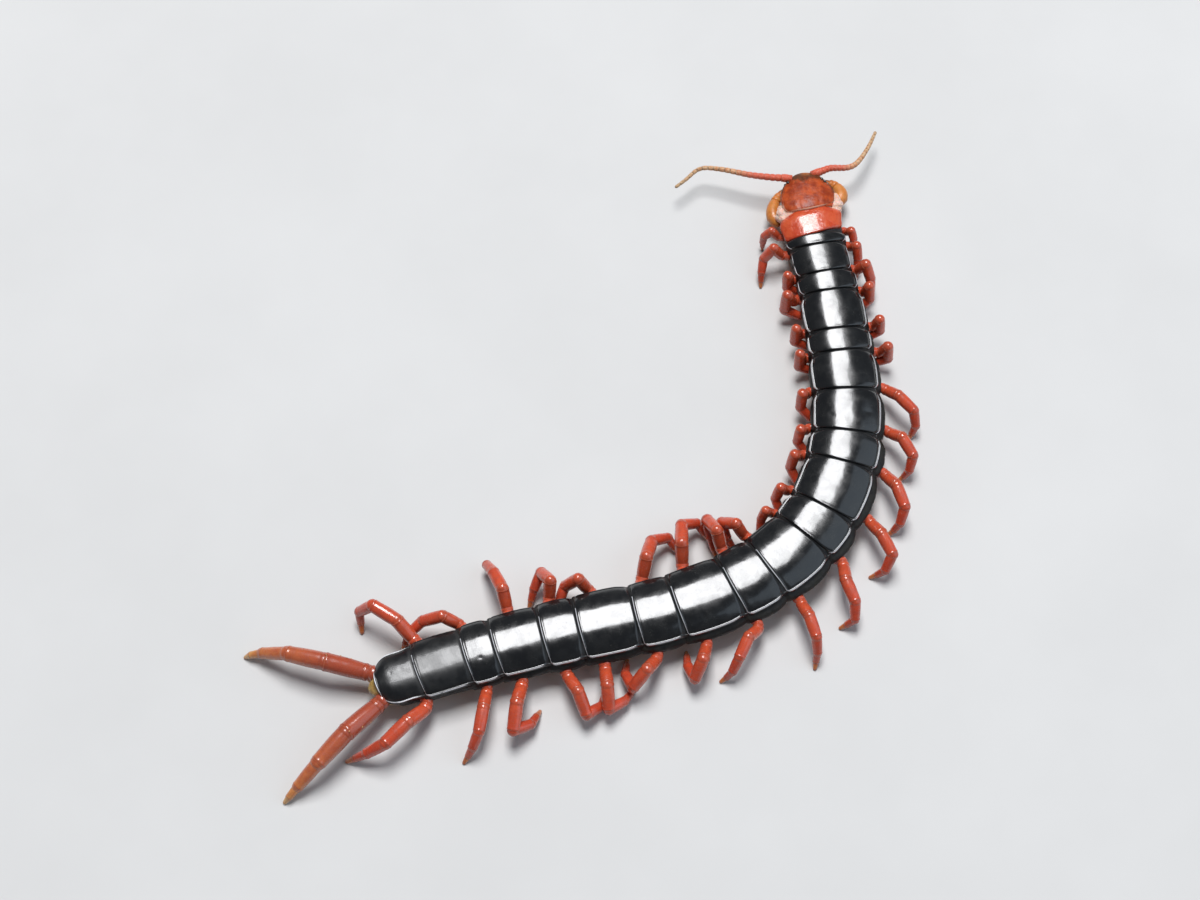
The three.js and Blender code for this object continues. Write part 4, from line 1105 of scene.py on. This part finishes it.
def walking_leg(number, side):
    """Joints of a walking leg from its hip to the floor."""
    swing, femur, tibia, tarsus, rise, fold = LEG_POSES[side][number - 1]
    size = LEG_SIZES[side][number - 1]
    length, half, _ = PLATES[number - 1]
    root, back = spine.at(STARTS[number - 1] + length * HIP_SHARES[side][number - 1])
    out = heading(back, side, 0)
    face = root + out * (half + BULGES[side][number - 1] + HIP_REACH) + UP * HIP_HEIGHT
    direction = heading(back, side, float(np.clip(swing, -HIP_LIMIT, HIP_LIMIT)))
    start = face + direction * GAP
    joints = [start + direction * TROCHANTER * size]
    turns = [0, femur, tibia, tarsus, tarsus]
    ankle = ANKLE_HEIGHT * size
    for i, article_length in enumerate(LEG_LENGTHS):
        reach = article_length * size
        z = joints[i][2]
        drops = [-reach * math.sin(math.radians(rise)), -reach * math.sin(math.radians(rise - fold)),
                 (z - ankle) * TIBIA_SHARE, z - ankle, z]
        drop = float(np.clip(drops[i], -reach * 0.97, reach * 0.97))
        level = math.sqrt(reach ** 2 - drop ** 2)
        joints.append(joints[i] + heading(back, side, swing + turns[i]) * level - UP * drop)
    return face, out, direction, joints, size


def leg_shells(form, claws, face, out, direction, joints, radii, stout):
    """Hip, trochanter, five articles, the spurs and the claw."""
    wide = HIP_RADIUS * stout
    hip_points = [face - out * HIP_DEPTH, face - out * 1.1, face - out * 0.5 - direction * 0.1,
                  face - direction * 0.05, face + direction * 0.08]
    hip_ways = [out, out, out + direction, direction, direction]
    hip_radii = wide * np.array([0.75, 0.95, 1.0, 0.95, 0.75])
    form.tube(rings_along(hip_points, hip_ways, hip_radii, LEG_SIDES), tube_lays([0.2] * 5, LEG_SIDES))
    article(form, face + direction * 0.25, joints[0], (radii[0][0] * 0.97, radii[0][0]), 0)
    for i, radius in enumerate(radii):
        start, end = joints[i], joints[i + 1]
        if i == LAST_ARTICLE:
            end = start + (end - start) * CLAW_SHARE
        article(form, start, end, radius, i + 1)
    for i, length in SPURS:
        way = unit(joints[i + 1] - joints[i])
        under = unit(-UP + way * (UP @ way))
        root = joints[i + 1] + under * radii[i][1] * 0.7 - way * 0.12
        cone(form, root, way + under * 0.7, length * stout, 0.07 * stout, (5.6, 0, 0))
    ankle, toe = joints[LAST_ARTICLE], joints[LAST_ARTICLE + 1]
    foot = ankle + (toe - ankle) * (CLAW_SHARE - 0.04)
    claw(claws, foot, toe, radii[LAST_ARTICLE][1] * 0.8)


def make_walking_legs():
    for side, word in ((1, "left"), (-1, "right")):
        claws = Form()
        for number in range(1, SEGMENTS):
            face, out, direction, joints, size = walking_leg(number, side)
            stout = (size + 1) / 2
            radii = [(a * stout, b * stout) for a, b in LEG_RADII]
            form = Form()
            leg_shells(form, claws, face, out, direction, joints, radii, stout)
            name = f"leg_{number:02d}_{word}"
            make_piece(f"walking_{name}", form, leg_red, "leg", name)
        make_piece(f"claws_{word}", claws, claw_dark, "claw")


# Spines of the last legs: part of the first article, angle round it from the top, length
TAIL_SPINES = [(0.42, 150, 0.45), (0.66, 165, 0.5), (0.36, 80, 0.4), (0.62, 60, 0.45), (0.97, 25, 0.6)]


def make_tail_legs():
    for side, word in ((1, "left"), (-1, "right")):
        headings = TAIL_HEADINGS[side]
        root, back = spine.at(STARTS[-1])
        direction = heading(back, side, headings[0] - 90)
        face = root + heading(back, side, 0) * TAIL_SIDE + back * TAIL_BACK + UP * TAIL_HEIGHTS[0]
        joints = [face + direction * (GAP + TROCHANTER)]
        heights = [*TAIL_HEIGHTS[1:], 0.0]
        for i, length in enumerate(TAIL_LENGTHS):
            drop = joints[i][2] - heights[i]
            level = math.sqrt(length ** 2 - drop ** 2)
            joints.append(joints[i] + heading(back, side, headings[i] - 90) * level - UP * drop)
        form, claws = Form(), Form()
        leg_shells(form, claws, face, direction, direction, joints, TAIL_RADII, TAIL_STOUT)
        way = unit(joints[1] - joints[0])
        inward = unit(np.cross(way, UP)) * side
        top = np.cross(inward, way) * side
        for share, angle, length in TAIL_SPINES:
            a = math.radians(angle)
            out = top * math.cos(a) + inward * math.sin(a)
            centre = joints[0] + (joints[1] - joints[0]) * share
            cone(form, centre + out * TAIL_RADII[0][1] * 0.85, out + way * 0.8, length, 0.12, (5.7, 0, 0))
        make_piece(f"last_leg_{word}", form, tail_leg_brown, "tail_leg", f"leg_{SEGMENTS}_{word}")
        make_piece(f"last_claw_{word}", claws, claw_dark, "claw")


TAIL_END_RADIUS = 2.0
TAIL_ROOT_RADIUS = 1.5


def make_tail_end():
    """Soft end of the body between the last legs, and the swollen roots of those legs."""
    form = Form()
    shares = np.linspace(0, 1, 12)
    end = STARTS[-1]
    centres = place(end - 2.2 + 3.6 * shares, 0, 4.1 - 0.3 * shares)
    radii = TAIL_END_RADIUS * np.sqrt(np.clip(1 - shares ** 2.2, 0.02, 1))
    form.tube(rings_along(centres, np.gradient(centres, axis=0), radii, 24, 0.72),
              tube_lays(shares, 24))
    for side in (1, -1):
        root = place(end - 2.6, side * 2.0, 3.6)
        tip = place(end + 1.0, side * 1.75, 3.1)
        points = root + np.outer(shares, tip - root)
        radii = TAIL_ROOT_RADIUS * np.sqrt(np.clip(1 - shares ** 1.6, 0.01, 1))
        ways = [tip - root] * len(shares)
        form.tube(rings_along(points, ways, radii, LEG_SIDES, 0.9), tube_lays(shares, LEG_SIDES))
        for height in (0.15, -0.15):
            cone(form, points[-2], tip - root + UP * height, 0.35, 0.08, (1, 0, 0))
    make_piece("tail_end", form, tail_end_olive, "membrane")


# Head

def head_measure(distance):
    """Half width and top of the head shield at distances from its front."""
    shield = Curve(HEAD_SHIELD)
    order = np.argsort(shield.points[:, 0])
    along = shield.points[order, 0]
    return (np.interp(distance, along, shield.points[order, 1]),
            np.interp(distance, along, shield.points[order, 2]))


def make_head_shield():
    rear = HEAD_SHIELD[-1][0]
    rows = np.concatenate([[0.1, 0.13, 0.18, 0.26, 0.36, 0.5], np.linspace(0.7, rear - 1.0, 24),
                           rear - REAR_ROWS])
    d, x = np.meshgrid(rows, COLUMNS, indexing="ij")
    width, top = head_measure(d)
    width = width - rounded_corner(rear - d, HEAD_CORNER)
    aside = x * width
    edge = np.minimum(np.minimum(width * (1 - np.abs(x)), rear - d), d)
    z = top - HEAD_FALL * np.abs(x) ** 2.6 * smooth(d, -0.4, 2.2)
    z = z + fold(edge, HEAD_RIM) - 0.18 * np.clip(1 - edge / 0.13, 0, 1) ** 2
    z = z + 0.05 * wobble(d, aside, 31.7) + 0.02 * wobble(d, aside, 12.9, 1.4)
    z = z - fold(np.abs(x), HEAD_FURROWS) * smooth(d, 4.6, 6.6)
    distance = d + (HEAD_BOW * (1 - x ** 2) - 0.35) * smooth(d, 3.5, rear)
    distance = distance + NECK_SLANT * aside * smooth(d, 0.3, 6.0)
    form = Form()
    form.sheet(place(distance, aside, z), place(distance, aside * 0.985, z - 0.2),
               np.stack([distance, aside, edge], -1))
    make_piece("head_shield", form, head_red, "head_shield", "head")


# Section of the head under its shield: part of half width, part of height from the underside
HEAD_SECTION = [
    (0.0, 0.93), (0.4, 0.9), (0.75, 0.78), (0.93, 0.6), (0.97, 0.42), (0.9, 0.2), (0.72, 0.05),
    (0.45, 0.0), (0.0, 0.0),
]


def make_head_body():
    """Soft underside of the head, below its shield."""
    half = profile([(a, b, 0) for a, b in HEAD_SECTION], 22)[:, :2]
    section = np.vstack([half, half[-2:0:-1] * [-1, 1]])
    distances = np.concatenate([[0.15, 0.3, 0.55, 0.9], np.linspace(1.3, HEAD_LENGTH - 0.2, 22)])
    rings, lays = [], []
    for distance in distances:
        width, top = head_measure(distance)
        bottom = HEAD_UNDERSIDE - 0.5 * float(smooth(distance, 0, 2.5))
        height = bottom + section[:, 1] * (top - bottom - 0.25)
        rings.append(place(distance, section[:, 0] * (width - 0.15), height))
        lays.append(np.stack([np.full(len(section), distance), section[:, 0] * width, section[:, 1]], -1))
    form = Form()
    form.tube(rings, lays)
    make_piece("head_body", form, head_red, "head_shield")


def make_eyes():
    for side, word in ((1, "left"), (-1, "right")):
        form = Form()
        for distance, aside, height in EYES:
            ball(form, place(distance, side * (aside - 0.12), height - 0.02), EYE_RADIUS, (0, 0, 0), 12, 18)
        make_piece(f"eyes_{word}", form, eye_black, "eye")


# Ring-like socket of a feeler on the head: distance before the feeler's root, radius
SOCKET = np.array([
    (-1.9, 0.6), (-0.9, 0.7), (-0.45, 0.72), (-0.25, 0.64), (-0.2, 0.7), (-0.05, 0.68), (0.0, 0.5),
])


# Thickness along one article of a feeler
BEAD = np.array([(0.0, 0.86), (0.08, 0.93), (0.3, 1.02), (0.62, 1.05), (0.88, 1.0)])
FEELER_SIDES = 16


def make_feelers():
    for word, points in FEELERS.items():
        curve = Curve(points)
        length = curve.length - FEELER_INSET
        alongs = (np.arange(FEELER_ARTICLES)[:, None] + BEAD[:, 0]).ravel()
        alongs = np.append(alongs, [FEELER_ARTICLES - 0.02, FEELER_ARTICLES + 0.1])
        taper = FEELER_RADII[0] + (FEELER_RADII[1] - FEELER_RADII[0]) * alongs / FEELER_ARTICLES
        radii = taper * np.append(np.tile(BEAD[:, 1], FEELER_ARTICLES), [0.8, 0.35])
        centres, ways = curve.at(alongs / FEELER_ARTICLES * length)
        form = Form()
        form.tube(rings_along(centres, ways, radii, FEELER_SIDES), tube_lays(alongs, FEELER_SIDES))
        centres, ways = curve.at(SOCKET[:, 0])
        form.tube(rings_along(centres, ways, SOCKET[:, 1], FEELER_SIDES),
                  tube_lays([0.5] * len(SOCKET), FEELER_SIDES))
        make_piece(f"feeler_{word}", form, feeler_red, "feeler", f"antenna_{word}")


def make_fang_base():
    """Plate under the head with a groove down its middle and two rows of dark teeth."""
    half = profile([(0, 0, 0), (0.3, 0.0, 0), (0.7, 0.02, 0), (0.92, 0.14, 0), (1.0, 0.36, 0),
                    (0.99, 0.72, 0), (0.86, 0.97, 0), (0.4, 1.0, 0), (0, 1.0, 0)], 26)[:, :2]
    section = np.vstack([half, half[-2:0:-1] * [-1, 1]])
    table = np.array(FANG_BASE)
    side = np.sign(section[:, 0])
    shares = np.concatenate([[0, 0.004, 0.012, 0.03], np.linspace(0.06, 1, 26)])
    rings, lays = [], []
    for share in shares:
        behind = table[0, 0] + (table[-1, 0] - table[0, 0]) * share
        left, right = (float(np.interp(behind, table[:, 0], table[:, i])) for i in (1, 2))
        width = np.where(side > 0, left, right)
        end = 0.86 + 0.14 * float(smooth(share, 0, 0.03))
        groove = fold(section[:, 0] * width, FANG_BASE_GROOVE) * (section[:, 1] < 0.2)
        z = FANG_BASE_BOTTOM + (0.5 + (section[:, 1] - 0.5) * end) * (FANG_BASE_TOP - FANG_BASE_BOTTOM)
        rings.append(place(HEAD_LENGTH + behind, section[:, 0] * width * end, z + groove))
        lays.append(np.stack([np.full(len(z), 0.2), section[:, 0] * width, section[:, 1]], -1))
    form = Form()
    form.tube(rings, lays)
    make_piece("fang_base", form, fang_amber, "fang_base", "forcipule_base")
    teeth = Form()
    ahead = -spine.at(HEAD_LENGTH)[1]
    for side in (1, -1):
        pad_root = place(HEAD_LENGTH - 4.0, side * 1.15, 3.25)
        for i, aside in enumerate(TEETH):
            root = place(HEAD_LENGTH - 4.25 + 0.12 * i, side * aside, 3.25)
            cone(teeth, root, ahead, 0.75 - 0.08 * i, 0.24, (0.9, 0, 0), sides=10)
        points = pad_root + np.outer([0, 0.3, 0.5, 0.6], ahead)
        teeth.tube(rings_along(points, [ahead] * 4, [0.9, 0.95, 0.85, 0.5], 16, 0.45),
                   tube_lays([0.3] * 4, 16))
    make_piece("fang_base_teeth", teeth, claw_dark, "claw")


# Shares of the fang's path at which its four articles meet
FANG_JOINTS = [0.0, 0.5, 0.585, 0.66, 1.0]

# Shares of an article at which it has rings, and its thickness there: a middle one and the tip
FANG_RINGS = np.array([-0.06, 0.0, 0.06, 0.16, 0.3, 0.45, 0.6, 0.75, 0.88, 0.95, 1.0, 1.02])
FANG_ARTICLE = [0.6, 0.82, 0.93, 0.99, 1.02, 1.03, 1.03, 1.02, 1.01, 0.98, 0.84, 0.5]
FANG_TIP = [0.6, 0.8, 0.92, 1.0, 1.0, 0.98, 0.94, 0.88, 0.8, 0.6, 0.3, 0.06]
FANG_SIDES = 22
FANG_ROOT = (0.7, 0.95)    # thickness of the first two rings of the first article


def make_fangs():
    for side, word in ((1, "left"), (-1, "right")):
        corners = [place(HEAD_LENGTH + b, side * a, h) for a, b, h, _ in FANG_PATHS[side]]
        path = Curve(corners)
        knots = [np.argmin(np.linalg.norm(path.points - corner, axis=1)) for corner in corners]
        stations = path.distances[knots]
        widths = [radius for _, _, _, radius in FANG_PATHS[side]]
        arm, tip = Form(), Form()
        for i, (low, high) in enumerate(zip(FANG_JOINTS, FANG_JOINTS[1:])):
            last = i == len(FANG_JOINTS) - 2
            alongs = (low + (high - low) * np.clip(FANG_RINGS, -0.05, 1)) * path.length
            alongs = alongs + np.where(FANG_RINGS < 0, -0.1, 0) * (i > 0)
            thick = np.interp(alongs, stations, widths) * (FANG_TIP if last else FANG_ARTICLE)
            if i == 0:
                thick[:2] = widths[0] * np.array(FANG_ROOT)
            centres, ways = path.at(alongs)
            target = tip if last else arm
            target.tube(rings_along(centres, ways, thick, FANG_SIDES, 0.95),
                        tube_lays(alongs / path.length, FANG_SIDES))
        make_piece(f"fang_arm_{word}", arm, fang_amber, "fang", f"forcipule_{word}")
        make_piece(f"fang_claw_{word}", tip, fang_amber, "fang")


# Soft lumps beside the neck, left then right: behind the neck, aside, height, radius
NECK_LUMPS = {
    1: [(-1.0, 4.6, 4.8, 0.8), (-0.2, 4.7, 5.0, 1.0), (0.7, 4.6, 4.9, 0.9), (0.2, 5.1, 4.6, 0.8)],
    -1: [(-3.0, 4.8, 4.7, 0.8), (-2.1, 4.8, 4.9, 1.0), (-1.1, 4.9, 4.9, 1.05), (-0.2, 4.8, 4.8, 0.95),
         (-1.5, 5.4, 4.6, 0.8)],
}


NECK_START = -2.4        # front end of the neck's skin, ahead of the first plate
NECK_LENGTH = 5.0
NECK_HEIGHT = 5.15       # middle of the neck above the floor
NECK_RADIUS = 4.5


def make_neck():
    """Pale soft skin that bulges out between the head, the first plate and the fangs."""
    form = Form()
    for side, lumps in NECK_LUMPS.items():
        for behind, aside, height, radius in lumps:
            ball(form, place(HEAD_LENGTH + behind, side * aside, height), radius, (0, 0, 0), 12, 20)
    shares = np.linspace(0, 1, 16)
    centres = place(HEAD_LENGTH + NECK_START + NECK_LENGTH * shares, 0, NECK_HEIGHT)
    radii = NECK_RADIUS - 0.4 * (2 * shares - 1) ** 2
    form.tube(rings_along(centres, np.gradient(centres, axis=0), radii, 40, 0.34), tube_lays(shares, 40))
    make_piece("neck_skin", form, membrane_pink, "membrane")


make_back_plates()
make_flank()
make_belly_plates()
make_spiracles()
make_walking_legs()
make_tail_legs()
make_tail_end()
make_head_shield()
make_head_body()
make_eyes()
make_feelers()
make_fang_base()
make_fangs()
make_neck()


# Floor, light and camera

CAMERA_DISTANCE = 400.0
CAMERA_HEIGHT_ANGLE = math.radians(65)
LENS = 72.0
SENSOR = 36.0
KEY_WAY = (-0.02, 0.395, 1.0)       # direction towards the main light
KEY_DISTANCE = 2.0
KEY_SIZE = (0.75, 1.03)
KEY_POWER = 48.0
KEY_COLOUR = (0.98, 0.985, 1.0)
SIDE_WAY = (0.85, -0.1, 0.62)       # direction towards the bluish light from the side
SIDE_DISTANCE = 1.4
SIDE_SIZE = (1.5, 1.5)
SIDE_POWER = 6.5
SIDE_COLOUR = (0.72, 0.86, 1.0)
WORLD_COLOUR = (0.88, 0.92, 1.0, 1)
WORLD_STRENGTH = 0.16
FLOOR_SIZE = 3.0


def aim(thing, target):
    way = Vector(target) - thing.location
    thing.rotation_euler = way.to_track_quat("-Z", "Y").to_euler()


def make_camera():
    data = bpy.data.cameras.new("camera")
    data.lens = LENS
    data.sensor_width = SENSOR
    camera = bpy.data.objects.new("camera", data)
    bpy.context.scene.collection.objects.link(camera)
    target = -ORIGIN * MM
    back = CAMERA_DISTANCE * MM
    camera.location = target + np.array([0, -back * math.cos(CAMERA_HEIGHT_ANGLE),
                                         back * math.sin(CAMERA_HEIGHT_ANGLE)])
    aim(camera, target)
    bpy.context.scene.camera = camera


def soft_light(name, way, distance, size, power, colour):
    data = bpy.data.lights.new(name, "AREA")
    data.shape = "RECTANGLE"
    data.size, data.size_y = size
    data.energy = power
    data.color = colour
    light = bpy.data.objects.new(name, data)
    bpy.context.scene.collection.objects.link(light)
    light.location = Vector(way).normalized() * distance
    aim(light, (0, 0, 0))


def make_stage():
    corner = FLOOR_SIZE / 2
    mesh = bpy.data.meshes.new("floor")
    mesh.from_pydata([(-corner, -corner, 0), (corner, -corner, 0), (corner, corner, 0), (-corner, corner, 0)],
                     [], [(0, 1, 2, 3)])
    mesh.materials.append(floor_finish())
    floor = bpy.data.objects.new("floor", mesh)
    bpy.context.scene.collection.objects.link(floor)
    soft_light("sky_window", KEY_WAY, KEY_DISTANCE, KEY_SIZE, KEY_POWER, KEY_COLOUR)
    soft_light("side_sky", SIDE_WAY, SIDE_DISTANCE, SIDE_SIZE, SIDE_POWER, SIDE_COLOUR)
    world = bpy.data.worlds.new("studio")
    world.use_nodes = True
    background = world.node_tree.nodes["Background"]
    background.inputs["Color"].default_value = WORLD_COLOUR
    background.inputs["Strength"].default_value = WORLD_STRENGTH
    bpy.context.scene.world = world
    bpy.context.scene.view_settings.view_transform = "Standard"


make_camera()
make_stage()
